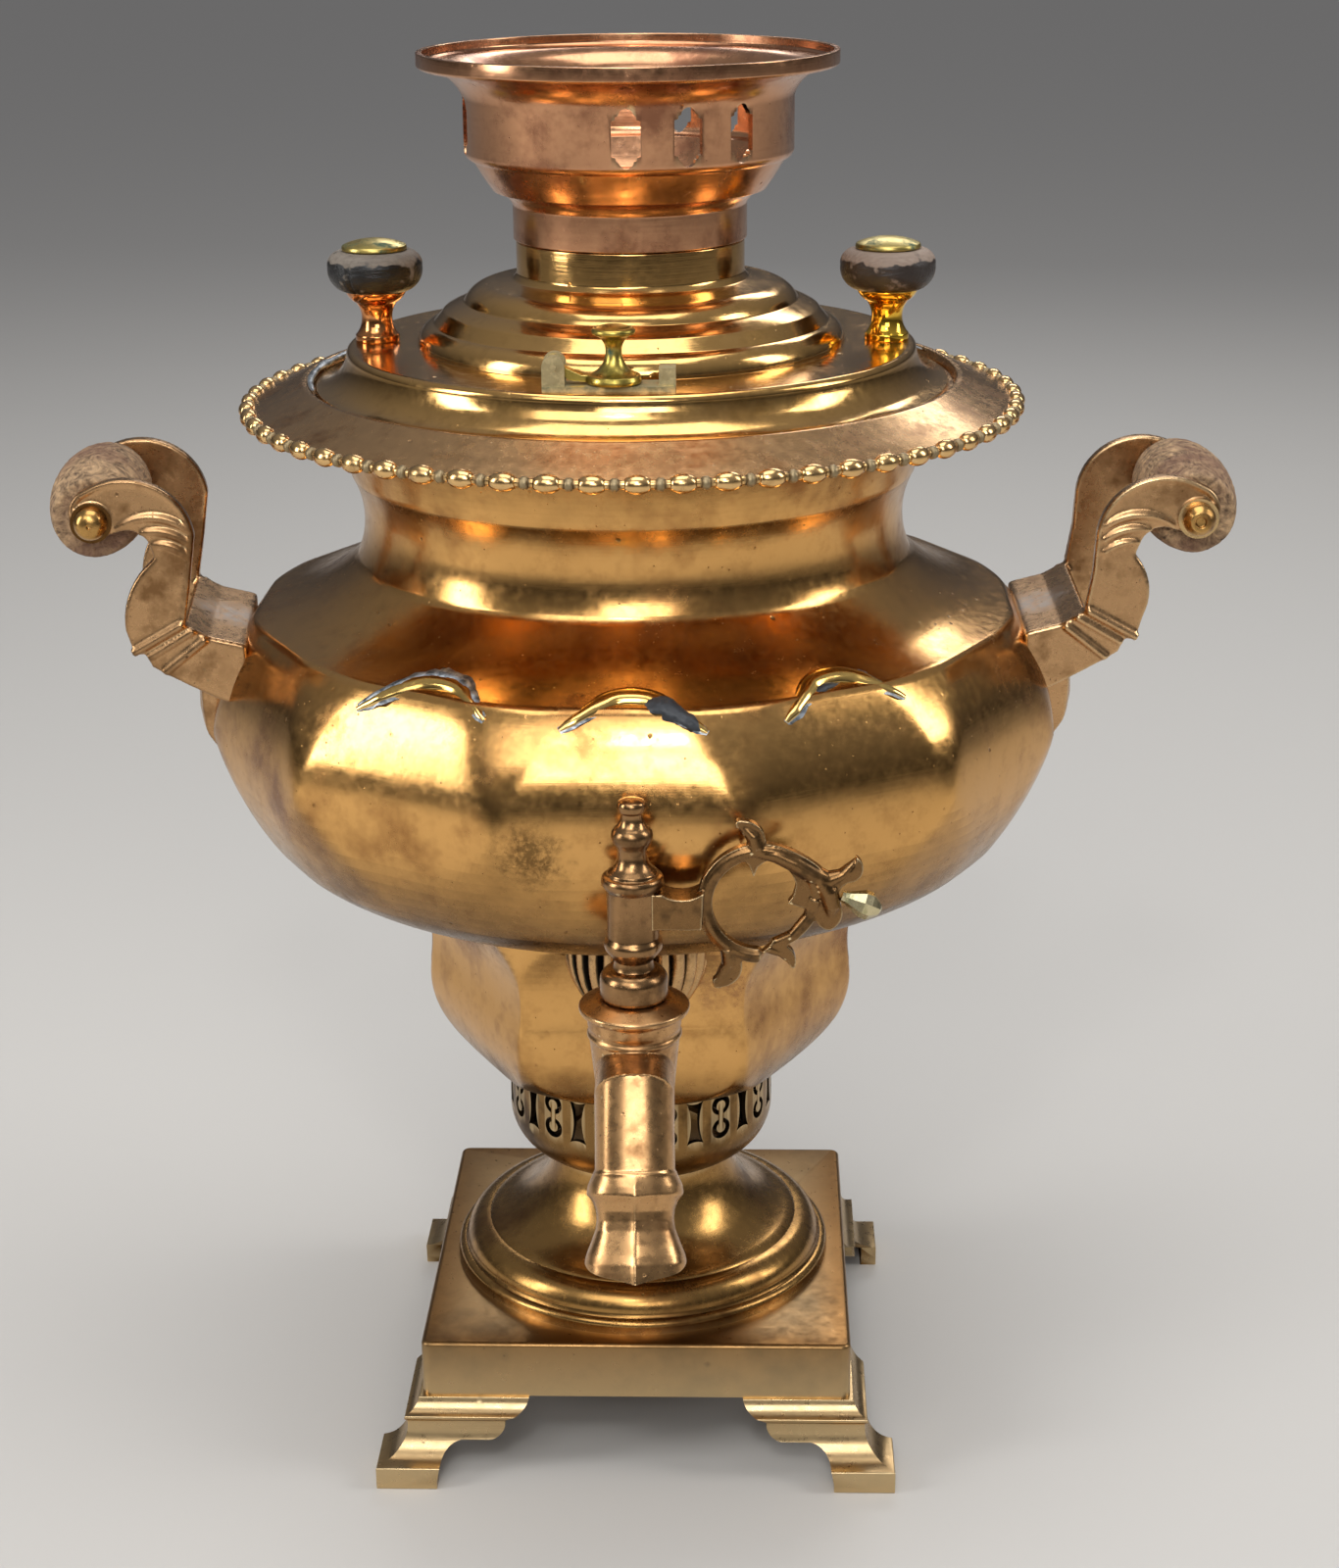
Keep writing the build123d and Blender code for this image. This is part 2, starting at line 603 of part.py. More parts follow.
def handle(back, lift):
    """A right-hand handle: bracket, grip, rod and nuts. Its curl is bent back and lifted."""

    def at(out, up):
        """A point by its distance beyond the belly and its rise over the widest level."""
        share = min(max((up - 44.0) / 20.0, 0.0), 1.0)
        return (belly_radius + out - back * share, belly_level + up + lift * share)

    ear = face_of(
        at(-14.8, 35.5), at(-3.6, 38.4), at(4.4, 43.0),
        (at(6.4, 56.0), at(7.2, 70.2)), (at(12.2, 81.8), at(20.5, 88.0)),
        (at(33.0, 90.0), at(42.6, 86.8)), (at(48.4, 77.0), at(41.4, 69.6)),
        at(33.0, 71.8), (at(27.6, 72.2), at(22.6, 68.0)), at(20.6, 63.0), at(21.8, 61.4),
        (at(26.0, 51.0), at(24.4, 41.6)), at(22.0, 33.2), at(18.2, 33.0), at(16.2, 28.4),
        at(11.0, 25.2), at(3.2, 20.8), at(-6.8, 15.4), at(-14.8, 13.0),
    )
    saddle = face_of(
        at(-14.8, 35.5), at(-3.6, 38.4), at(4.4, 43.0),
        at(5.8, 39.0), at(-2.6, 34.0), at(-14.8, 31.0),
    )
    leaf_side = face_of(
        at(-16.0, 20.0), at(6.0, 14.0), (at(6.2, 0.0), at(1.0, -11.4)), at(-4.0, -15.0),
        at(-16.0, -15.0),
    )
    leaf_top = belly_level + 22
    leaf_tip = belly_level - 15.5
    leaf_plan = make_face(Plane.YZ * Wire([
        Line((-15.5, leaf_top), (15.5, leaf_top)),
        ThreePointArc((15.5, leaf_top), (12.5, leaf_tip + 16), (0, leaf_tip)),
        ThreePointArc((0, leaf_tip), (-12.5, leaf_tip + 16), (-15.5, leaf_top)),
    ]))
    bracket = both_ears(ear, ear_thickness)
    bracket += extrude(saddle, ear_span / 2, both=True)
    leaf = extrude(leaf_side, 16, both=True)
    bracket += leaf & extrude(leaf_plan, 2 * belly_radius, dir=(1, 0, 0))
    plate = extrude(face_of(*belly_press(-bracket_plate)), ear_span / 2, both=True)
    plate_low, plate_high = 13.0, 36.0
    zone = Pos(belly_radius, 0, belly_level + (plate_low + plate_high) / 2)
    bracket += plate & zone * Box(60, ear_span, plate_high - plate_low)
    for start, end, width in (
        (at(5.6, 42.2), at(21.6, 33.6), 2.6), (at(1.6, 40.4), at(17.0, 31.4), 1.6),
        (at(-2.4, 37.2), at(12.0, 26.4), 1.6), (at(11.4, 71.6), at(34.0, 73.2), 2.4),
        (at(10.6, 68.4), at(28.0, 72.6), 2.2), (at(10.4, 65.0), at(22.6, 68.8), 2.0),
    ):
        bracket += both_ears(strip(start, end, width), 2.0, proud=0.9)
    rod_x, rod_level = at(handle_reach, handle_rise)
    seat = Pos(rod_x, 0, rod_level) * Rot(90, 0, 0)
    boss_face = ear_span / 2 + 1.5
    between = ear_span - 2 * ear_thickness
    bracket += seat * (Cylinder(boss_radius, 2 * boss_face) - Cylinder(20, between))
    bracket -= seat * Cylinder(grip_rod_radius + solder_gap, 4 * ear_span)

    grip_half = between / 2 - 0.1
    bore = grip_rod_radius + 0.3
    fall = 0.25 * (grip_radius - grip_end_radius)   # from the middle to a quarter's end
    grip = seat * turned(
        (bore, -grip_half), (grip_end_radius, -grip_half), (grip_radius - fall, -grip_half / 2),
        (grip_radius, 0), (grip_radius - fall, grip_half / 2), (grip_end_radius, grip_half),
        (bore, grip_half),
    )
    rod_piece = seat * Cylinder(grip_rod_radius, 2 * boss_face + 7)
    thread = grip_rod_radius + solder_gap
    nut = turned(
        (thread, 0), (5.3, 0), ((5.5, 1.6), (4.6, 4.4)), (3.2, 6.0),
        (1.1, 6.0), (1.1, 5.2), (0, 5.2), (0, 3.6), (thread, 3.6),
    )
    nuts = []
    for side in (-1, 1):
        turn = Rot(-90 * side, 0, 0)
        nuts.append(Pos(rod_x, side * boss_face, rod_level) * turn * nut)
    return {"bracket": bracket, "grip": grip, "rod": rod_piece, "nuts": Compound(children=nuts)}


for name, piece in handle(0.0, 0.0).items():
    piece = piece - vase_solid if name == "bracket" else piece
    save(f"right_handle_{name}", piece)
for name, piece in handle(left_curl_back, left_curl_up).items():
    piece = Rot(0, 0, left_handle_yaw) * mirror(piece, Plane.YZ)
    piece = piece - vase_solid if name == "bracket" else piece
    save(f"left_handle_{name}", piece)


# ---- Tap: a gadrooned seat, a cast body with its spout, and a plug with an openwork key ----

plug_place = Pos(0, -tap_reach, 0)
seat_depth = 68.0           # how far the seat's upright axis stands off the turning axis
seat_low = spigot_level - 18
seat_high = spigot_level + 18


def seat_cup(inset):
    return turned(
        (0, seat_high + inset), (24 - inset, seat_high + inset), (24 - inset, seat_high - 3),
        ((18.5 - inset, seat_low + 12), (5 - inset, seat_low + inset)), (0, seat_low + inset),
    )


groove_cutter = extrude(Plane.XZ * Pos(30, spigot_level) * Rectangle(60, 60), 0.7, both=True)
grooves = seat_cup(0) - seat_cup(1.8)
rosette = seat_cup(0)
groove_set = []
for number in range(12):
    groove_set.append(grooves & Rot(0, 0, -180 + 180 / 12 * (number + 0.5)) * groove_cutter)
rosette -= groove_set
rosette = Pos(0, -seat_depth, 0) * rosette
rosette -= Pos(0, -seat_depth + 25, spigot_level) * Box(100, 50, 100)
rosette -= along_tap(spigot_radius + solder_gap, 0, tap_reach, spigot_level)
save("tap_rosette", tap_turn * rosette - vase_solid)

housing_top = spigot_level + 25
housing_low = housing_top - housing_height
housing = turned(
    (0, housing_low), (housing_radius - 2.8, housing_low),
    ((housing_radius - 1.7, housing_low + 16), (housing_radius, housing_top - 13)),
    (housing_radius + 0.8, housing_top - 11.5), (housing_radius, housing_top - 10),
    (housing_radius + 0.4, housing_top - 6), (housing_flange_radius, housing_top - 4.2),
    (housing_flange_radius, housing_top - 1), (housing_flange_radius - 1.2, housing_top),
    (0, housing_top),
)
spout_bend = spout_radius + 2.0
spout_start = Vector(0, -tap_reach - 12, spigot_level)
tilt = radians(90 - spout_tilt)
bend_centre = spout_start - Vector(0, 0, spout_bend)
bend_middle = bend_centre + Vector(0, -sin(tilt / 2), cos(tilt / 2)) * spout_bend
bend_end = bend_centre + Vector(0, -sin(tilt), cos(tilt)) * spout_bend
down = Vector(0, -cos(tilt), -sin(tilt))
spout_length = (bend_end.Z - spout_mouth_level) / sin(tilt)
spout_root = Vector(0, -tap_reach, spout_start.Z)
spout_line = Wire([Line(spout_root, spout_start), ThreePointArc(spout_start, bend_middle, bend_end)])
spout_plane = Plane(origin=spout_root, x_dir=(1, 0, 0), z_dir=(0, -1, 0))
mouth_plane = Plane(origin=bend_end, x_dir=(1, 0, 0), z_dir=down)
mouth = turned(
    (0, 0), (spout_radius, 0), (spout_radius, 12.8), (spout_radius + 2.4, 14.6),
    (spout_radius + 2.6, 17.6), (spout_radius + 0.6, 20.0),
    ((spout_radius - 0.9, 28.0), (spout_radius + 1.6, 35.0)),
    ((spout_radius + 3.2, 40.0), (spout_radius + 3.9, spout_length)),
    (spout_radius + 3.9, spout_length + 12), (0, spout_length + 12),
)
mouth_bore = turned((0, 4), (8, 8), (8, 30), (11.5, spout_length + 12), (0, spout_length + 12))
tap_body = plug_place * housing
tap_body += sweep(spout_plane * Circle(spout_radius), spout_line)
tap_body += mouth_plane * mouth
tap_body = tap_turn * tap_body
tap_body += tap_turn * along_tap(spigot_radius, 60, tap_reach, spigot_level) - vase_solid
tap_body += tap_turn * along_tap(spigot_tail_radius, 64, 80, spigot_level)
bore_top = plug_top_radius + plug_clearance
bore_low = bore_top - plug_taper
plug_bore = plug_place * turned(
    (0, housing_low - 1), (bore_low, housing_low - 1), (bore_top, housing_top),
    (bore_top, housing_top + 1), (0, housing_top + 1))
below_mouth = Pos(0, -tap_reach - 40, spout_mouth_level - 20) * Box(80, 120, 40)
for space in (
    plug_bore, sweep(spout_plane * Circle(water_way_radius), spout_line),
    mouth_plane * mouth_bore, along_tap(water_way_radius, 60, tap_reach, spigot_level), below_mouth,
):
    tap_body -= tap_turn * space
save("tap_body", tap_body)


# The plug turns in the housing; its cross hole lies along the key, shut at rest.

plug_low = housing_low - 2
neck_start = housing_top + 8
barrel_radius = 8.1
plug = turned(
    (0, plug_low), (plug_top_radius - plug_taper, plug_low), (plug_top_radius, housing_top),
    (plug_top_radius, housing_top + 0.3), (10.2, housing_top + 0.3), (10.7, housing_top + 1.2),
    (10.7, housing_top + 6.4), ((9.8, housing_top + 8.6), (6.4, neck_start + 2.2)),
    (6.0, neck_start + 5.0), ((7.4, neck_start + 7.0), (8.5, neck_start + 8.6)),
    ((9.0, neck_start + 10.3), (8.5, neck_start + 12.0)), (barrel_radius, neck_start + 13.2),
    (barrel_radius, neck_start + 28.4), (9.2, neck_start + 29.6),
    ((9.8, neck_start + 31.4), (9.2, neck_start + 33.2)), (6.6, neck_start + 35.4),
    ((4.7, neck_start + 39.0), (4.9, neck_start + 42.4)), (6.0, neck_start + 44.0),
    ((6.5, neck_start + 46.4), (5.4, neck_start + 48.6)),
    ((3.6, neck_start + 51.4), (3.5, neck_start + 53.4)), (4.2, neck_start + 54.4),
    (4.3, neck_start + 57.0), (3.0, neck_start + 58.0), (0, neck_start + 58.0),
)
cross_hole = Pos(0, 0, spigot_level) * Rot(0, 90, 0) * Cylinder(water_way_radius - 0.3, 40)
plug -= cross_hole
save("tap_plug", tap_turn * plug_place * plug)

# Every outline of the key is given as (distance from the plug's axis, rise over the housing).

ring_place = Pos(39.6, 31.5)
key_ring = Plane.XZ * (ring_place * Circle(19.8) - ring_place * Circle(15.1))
key_ring -= Plane.XZ * (ring_place * Pos(14.6, -14.6) * Rectangle(20.6, 23.4))
key = extrude(key_ring, lever_thickness / 2, both=True)
for outline in (
    (   # leaf
        (42.0, 51.2), ((52.0, 47.5), (58.9, 42.2)), ((64.1, 40.3), (68.8, 46.7)),
        ((71.0, 41.8), (66.6, 38.2)), ((63.5, 34.4), (64.5, 30.1)),
        ((64.3, 25.6), (61.0, 22.5)), ((58.9, 23.1), (56.4, 26.3)),
        ((51.4, 19.9), (43.0, 16.2)), (43.6, 19.4), ((49.1, 21.5), (53.2, 26.4)),
        (53.9, 29.5), (47.9, 31.7), (49.5, 33.8), (50.4, 37.5),
        ((47.9, 42.8), (39.6, 46.3)),
    ),
    (   # tail
        (43.4, 18.6), ((48.9, 16.4), (50.2, 9.8)), (48.9, 10.0), ((46.3, 13.9), (39.1, 14.3)),
    ),
    (   # upper curl
        (40.9, 50.4), ((39.9, 55.7), (33.8, 58.9)), ((31.9, 58.3), (32.5, 56.3)),
        ((35.8, 54.2), (34.6, 49.9)),
    ),
    (   # spur
        (32.6, 47.4), (36.0, 44.2), (37.3, 40.2), (38.6, 43.8), (42.8, 47.0),
    ),
    (   # lower curl
        (25.8, 17.4), ((29.1, 11.7), (25.2, 6.5)), ((25.0, 3.9), (27.6, 3.7)),
        ((33.2, 7.6), (32.7, 14.1)),
    ),
):
    key += extrude(face_of(*outline), lever_thickness / 2, both=True)
root_outline = face_of(
    (0, 24.4), (21.2, 24.4), (21.8, 36.6), ((14.6, 34.4), (9.0, 36.2)), (0, 36.2))
root = extrude(root_outline, 5.5, both=True) - rod(barrel_radius + solder_gap, 0, 100)
key += root & Pos(50, 0, 0) * Box(100, 100, 100)
lever = plug_place * Pos(0, 0, housing_top) * key
save("tap_lever", tap_turn * lever)

# A cast bud soldered on closes the key's end: an eight-sided drop with filed facets.

bud_length = 12.4
bud_drop = turned(
    (0, 0), (1.9, 0), (2.2, 1.2), (4.6, 6.0), (4.7, 8.4), (2.2, 11.6), (0, bud_length))
for number in range(4):
    bud_drop &= Rot(0, 0, 45 * number) * Box(8.4, 20, 2 * bud_length)
bud_place = Plane(origin=(65.5, 0, housing_top + 33.0), x_dir=(0, 1, 0), z_dir=(0.93, 0, -0.37))
bud = plug_place * (bud_place * bud_drop) - lever
save("lever_bud", tap_turn * bud)
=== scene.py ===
import bmesh
import bpy
import math
from mathutils import Matrix, Vector, noise


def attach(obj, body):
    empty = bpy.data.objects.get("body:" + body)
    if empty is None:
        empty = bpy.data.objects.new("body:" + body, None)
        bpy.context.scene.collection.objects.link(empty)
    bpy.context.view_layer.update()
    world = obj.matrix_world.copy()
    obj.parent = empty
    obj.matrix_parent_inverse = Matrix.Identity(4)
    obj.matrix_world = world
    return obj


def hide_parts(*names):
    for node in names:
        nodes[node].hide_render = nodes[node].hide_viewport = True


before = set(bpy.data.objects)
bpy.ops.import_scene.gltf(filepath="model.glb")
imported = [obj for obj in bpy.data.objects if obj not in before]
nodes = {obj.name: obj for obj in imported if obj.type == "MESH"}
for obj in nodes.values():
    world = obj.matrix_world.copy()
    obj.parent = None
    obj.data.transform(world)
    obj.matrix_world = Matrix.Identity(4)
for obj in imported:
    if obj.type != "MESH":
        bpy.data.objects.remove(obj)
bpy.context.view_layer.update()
scene = bpy.context.scene
scene.view_settings.view_transform = "Standard"


# ---- Camera ---------------------------------------------------------------------
# A long lens a little above the urn's shoulder, looking down on it from the tap's
# side.

camera_place = Vector((0.040963, -0.945589, 0.573640))
yaw, pitch, roll = math.radians(-1.76839), math.radians(19.49142), math.radians(-0.497116)
ahead = Vector((
    math.sin(yaw) * math.cos(pitch), math.cos(yaw) * math.cos(pitch), -math.sin(pitch)))
level_right = Vector((math.cos(yaw), -math.sin(yaw), 0))
level_up = level_right.cross(ahead)
right = math.cos(roll) * level_right + math.sin(roll) * level_up
up = -math.sin(roll) * level_right + math.cos(roll) * level_up
lens = bpy.data.cameras.new("camera")
lens.lens = 63.0
lens.sensor_width = 36.0
lens.clip_start, lens.clip_end = 0.05, 60.0
camera = bpy.data.objects.new("camera", lens)
scene.collection.objects.link(camera)
camera.matrix_world = Matrix((
    (right.x, up.x, -ahead.x, camera_place.x),
    (right.y, up.y, -ahead.y, camera_place.y),
    (right.z, up.z, -ahead.z, camera_place.z),
    (0, 0, 0, 1)))
scene.camera = camera


# ---- Table and light ------------------------------------------------------------
# A wide pale table top of matt laminate, lit by soft boxes in a studio whose grey walls
# darken towards the floor, so that polished brass has bright and deep tones to mirror.

def linear(code):
    """A hex sRGB colour as linear RGBA."""
    parts = [int(code[i:i + 2], 16) / 255 for i in (1, 3, 5)]
    return tuple(p / 12.92 if p <= 0.04045 else ((p + 0.055) / 1.055) ** 2.4
                 for p in parts) + (1.0,)


def add(tree, kind, inputs=None, **settings):
    """A new node with its settings. An input is a value, or a socket or node to link from.

    Of a node, the first output that is in use is the one linked.
    """
    node = tree.nodes.new(kind)
    for key, value in settings.items():
        setattr(node, key, value)
    for key, value in (inputs or {}).items():
        if isinstance(value, bpy.types.Node):
            value = next(socket for socket in value.outputs if socket.enabled)
        if isinstance(value, bpy.types.NodeSocket):
            tree.links.new(value, node.inputs[key])
        else:
            node.inputs[key].default_value = value
    return node


def blank(name):
    """A new material and its emptied tree."""
    material = bpy.data.materials.new(name)
    material.use_nodes = True
    material.node_tree.nodes.clear()
    return material, material.node_tree


# Laminate: pale and a little warm, and matt enough to mirror nothing but a soft sheen.
laminate, tree = blank("matt_laminate")
grain = add(tree, "ShaderNodeTexNoise", {"Scale": 3.0, "Detail": 3.0})
shade = add(tree, "ShaderNodeMapRange", {"Value": grain, "To Min": 0.55, "To Max": 0.62})
board = add(tree, "ShaderNodeBsdfPrincipled", {
    "Base Color": linear("#C9C6C1"), "Roughness": shade, "Specular IOR Level": 0.25})
add(tree, "ShaderNodeOutputMaterial", {"Surface": board})

table_mesh = bpy.data.meshes.new("table")
table_reach = 14.0
table_mesh.from_pydata(
    [(x * table_reach, y * table_reach, 0) for x, y in ((-1, -1), (1, -1), (1, 1), (-1, 1))],
    [], [(0, 1, 2, 3)])
table_mesh.materials.append(laminate)
table = bpy.data.objects.new("table", table_mesh)
scene.collection.objects.link(table)

room = bpy.data.worlds.new("room")
scene.world = room
room.use_nodes = True
tree = room.node_tree
tree.nodes.clear()
look = add(tree, "ShaderNodeTexCoord")
split = add(tree, "ShaderNodeSeparateXYZ", {0: look.outputs["Generated"]})
climb = add(tree, "ShaderNodeMapRange", {
    "Value": split.outputs["Z"], "From Min": 0.0, "From Max": 0.9})
wall = add(tree, "ShaderNodeMix", {
    0: climb, 6: linear("#3F3E3E"), 7: linear("#A3A4A8")}, data_type="RGBA")
glow = add(tree, "ShaderNodeBackground", {"Color": wall, "Strength": 0.85})
add(tree, "ShaderNodeOutputWorld", {"Surface": glow})

for name, place, aim, size, watts in (
    ("soft_box_front", (-0.45, -1.60, 1.75), (0, 0, 0.25), (1.5, 1.0), 12.0),
    ("lamp_front", (-0.10, -1.75, 1.80), (0, 0, 0.25), (0.22, 0.22), 5.0),
    ("fill_front", (0.12, -2.10, 1.20), (0, 0, 0.20), (1.0, 0.6), 11.0),
    ("soft_box_left", (-1.7, -0.6, 0.9), (0, 0, 0.25), (0.5, 1.1), 13.0),
    ("soft_box_right", (1.6, -0.1, 1.2), (0, 0, 0.25), (0.5, 1.0), 10.0),
    ("soft_box_back", (0.3, 1.8, 1.5), (0, 0, 0.3), (1.2, 0.4), 8.0),
    ("soft_box_above", (0.0, -0.05, 2.1), (0, 0, 0.3), (1.4, 1.3), 16.0),
):
    lamp = bpy.data.lights.new(name, "AREA")
    lamp.shape = "RECTANGLE"
    lamp.size, lamp.size_y = size
    lamp.energy = watts
    box = bpy.data.objects.new(name, lamp)
    box.location = place
    box.rotation_mode = "QUATERNION"
    box.rotation_quaternion = (Vector(aim) - Vector(place)).to_track_quat("-Z", "Y")
    scene.collection.objects.link(box)


# ---- Plinth ---------------------------------------------------------------------
# A square tray of cast brass, filed flat and once polished. Handling and kitchen smoke
# have browned it to a satin, which breaks up the reflections. Its edges are lightened,
# partly as rubbed wear and partly as painted highlight.

MM = 0.001


def brass(name, clean, tarnish, gloss, patch, cover, pits=0.0, pit_size=7.0, wobble=0.0,
          edge=0.0, streak=0.0, dirt_and_crevice_shade="#4A2C14", green=0.0, underside_shade=0.0, stains=(), ribs=None):
    """Worn brass. patch and pit_size are in mm, cover is the tarnished share of 0 to 1.

    A stain is (x, y, z, reach in mm, colour, depth), a blotch round one place on the part.
    Faces that look down get painted shade, darkened by the amount given for the underside.
    Ribs are (x, y, count), where painted shade darkens the grooves between ribs round an upright
    axis.
    """
    material, tree = blank(name)
    here = add(tree, "ShaderNodeTexCoord").outputs["Object"]

    def patches(size, detail, grit, low, high, least=0.0, most=1.0):
        """Patches about size mm across, from least where their cloud is low to most."""
        cloud = add(tree, "ShaderNodeTexNoise", {
            "Vector": here, "Scale": 1000 / size, "Detail": detail, "Roughness": grit})
        return add(tree, "ShaderNodeMapRange", {
            "Value": cloud, "From Min": low, "From Max": high, "To Min": least, "To Max": most})

    veil = patches(patch, 5.0, 0.65, 0.72 - 0.44 * cover, 0.84 - 0.38 * cover)
    mottle = patches(11.0, 7.0, 0.75, 0.50, 0.70, 0.0, 0.38)
    fine = add(tree, "ShaderNodeTexNoise", {
        "Vector": here, "Scale": 1000 / 3.2, "Detail": 4.0, "Roughness": 0.6})
    films_and_painted_light = [(veil, tarnish), (mottle, tarnish)]    # where the metal takes another colour
    scuffs = [(veil, 0.10), (mottle, 0.16)]         # what makes it rougher, and by how much
    reliefs = [(fine, 0.010)]                       # what stands proud of it, in mm
    if streak:
        flow = add(tree, "ShaderNodeMapping", {"Vector": here, "Scale": (25.0, 25.0, 900.0)})
        lines = add(tree, "ShaderNodeTexNoise", {
            "Vector": flow, "Scale": 1.0, "Detail": 3.0, "Roughness": 0.6})
        reliefs.append((lines, 0.05 * streak))
    if wobble:
        for size, detail, height in ((34.0, 1.0, wobble), (9.0, 2.0, 0.13 * wobble)):
            dents = add(tree, "ShaderNodeTexNoise", {
                "Vector": here, "Scale": 1000 / size, "Detail": detail, "Roughness": 0.65})
            reliefs.append((dents, height))
    if pits:
        jitter = add(tree, "ShaderNodeVectorMath", {
            0: fine.outputs["Color"], 1: (0.0016, 0.0016, 0.0016)}, operation="MULTIPLY")
        shift = add(tree, "ShaderNodeVectorMath", {0: here, 1: jitter}, operation="ADD")
        for size, share, deep in (
            (pit_size, 0.45 * pits, 0.14), (0.4 * pit_size, 0.9 * pits, 0.05),
        ):
            cells = add(tree, "ShaderNodeTexVoronoi", {"Vector": shift, "Scale": 1000 / size})
            pick = add(tree, "ShaderNodeSeparateColor", {0: cells.outputs["Color"]})
            crowd = patches(40.0, 3.0, 0.65, 0.35, 0.65, -0.6 * share, 0.4 * share)
            luck = add(tree, "ShaderNodeMath", {0: crowd, 1: pick}, operation="ADD")
            chosen = add(tree, "ShaderNodeMapRange", {
                "Value": luck, "From Min": 1 - share, "From Max": 1 - 0.7 * share})
            core = add(tree, "ShaderNodeMapRange", {
                "Value": cells, "From Min": 0.05, "From Max": 0.17, "To Min": 1.0, "To Max": 0.0})
            pit = add(tree, "ShaderNodeMath", {0: chosen, 1: core}, operation="MULTIPLY")
            brown = add(tree, "ShaderNodeMath", {0: pit, 1: 0.7}, operation="MULTIPLY")
            films_and_painted_light.append((brown, dirt_and_crevice_shade))
            scuffs.append((pit, 0.25))
            reliefs.append((pit, -deep))
    # Painted shade: faces that look down are darkened towards a deep brown.
    if underside_shade:
        facing = add(tree, "ShaderNodeSeparateXYZ", {
            0: add(tree, "ShaderNodeNewGeometry").outputs["True Normal"]})
        cloud = add(tree, "ShaderNodeTexNoise", {
            "Vector": here, "Scale": 1000 / 18.0, "Detail": 5.0, "Roughness": 0.65})
        lowered = add(tree, "ShaderNodeMath", {
            0: cloud, 1: -0.5, 2: facing.outputs["Z"]}, operation="MULTIPLY_ADD")
        brown = add(tree, "ShaderNodeMapRange", {
            "Value": lowered, "From Min": -0.42, "From Max": -0.95, "To Max": underside_shade})
        films_and_painted_light.append((brown, "#3A2412"))
        scuffs.append((brown, 0.12))
    if green:
        crust = patches(9.0, 7.0, 0.75, 0.66 - 0.3 * green, 0.78 - 0.3 * green)
        films_and_painted_light.append((crust, "#4E6B5E"))
        scuffs.append((crust, 0.4))
    for x, y, z, reach, colour, depth in stains:
        away = add(tree, "ShaderNodeVectorMath", {
            0: here, 1: (x * MM, y * MM, z * MM)}, operation="DISTANCE")
        cloud = add(tree, "ShaderNodeTexNoise", {
            "Vector": here, "Scale": 1000 / 7.0, "Detail": 6.0, "Roughness": 0.7})
        ragged = add(tree, "ShaderNodeMath", {
            0: cloud, 1: -1.3 * reach * MM, 2: away}, operation="MULTIPLY_ADD")
        spread = add(tree, "ShaderNodeMapRange", {
            "Value": ragged, "From Min": 0.2 * reach * MM, "From Max": -0.35 * reach * MM,
            "To Max": depth})
        speckle = patches(4.0, 6.0, 0.8, 0.40, 0.56, 0.15, 1.0)
        blotch = add(tree, "ShaderNodeMath", {0: spread, 1: speckle}, operation="MULTIPLY")
        films_and_painted_light.append((blotch, colour))
        scuffs.append((blotch, 0.25))
    # Painted shade: the grooves between the ribs are darkened towards the dark colour given.
    if ribs:
        split = add(tree, "ShaderNodeSeparateXYZ", {0: here})
        aside, off = (add(tree, "ShaderNodeMath", {
            0: split.outputs[axis], 1: -middle * MM}, operation="ADD")
            for axis, middle in (("X", ribs[0]), ("Y", ribs[1])))
        turn = add(tree, "ShaderNodeMath", {0: off, 1: aside}, operation="ARCTAN2")
        half_turns = add(tree, "ShaderNodeMath", {0: turn, 1: ribs[2] / 2}, operation="MULTIPLY")
        wave = add(tree, "ShaderNodeMath", {0: half_turns}, operation="SINE")
        ridge = add(tree, "ShaderNodeMath", {0: wave}, operation="ABSOLUTE")
        uneven = add(tree, "ShaderNodeMath", {0: fine, 1: 0.3, 2: ridge}, operation="MULTIPLY_ADD")
        groove_shade = add(tree, "ShaderNodeMapRange", {
            "Value": uneven, "From Min": 0.66, "From Max": 0.46})
        films_and_painted_light.append((groove_shade, dirt_and_crevice_shade))
        scuffs.append((groove_shade, 0.3))
    # Convex edges are lightened, partly as rubbed wear and partly as painted highlight; hollows are
    # darkened with painted shade in the dark colour given.
    if edge:
        bend = add(tree, "ShaderNodeNewGeometry").outputs["Pointiness"]
        for low, high, most, colour in ((0.515, 0.60, edge, "#F3D9A8"), (0.49, 0.42, 0.85, dirt_and_crevice_shade)):
            edge_highlight_and_crevice_shade = add(tree, "ShaderNodeMapRange", {
                "Value": bend, "From Min": low, "From Max": high, "To Max": most})
            films_and_painted_light.append((edge_highlight_and_crevice_shade, colour))

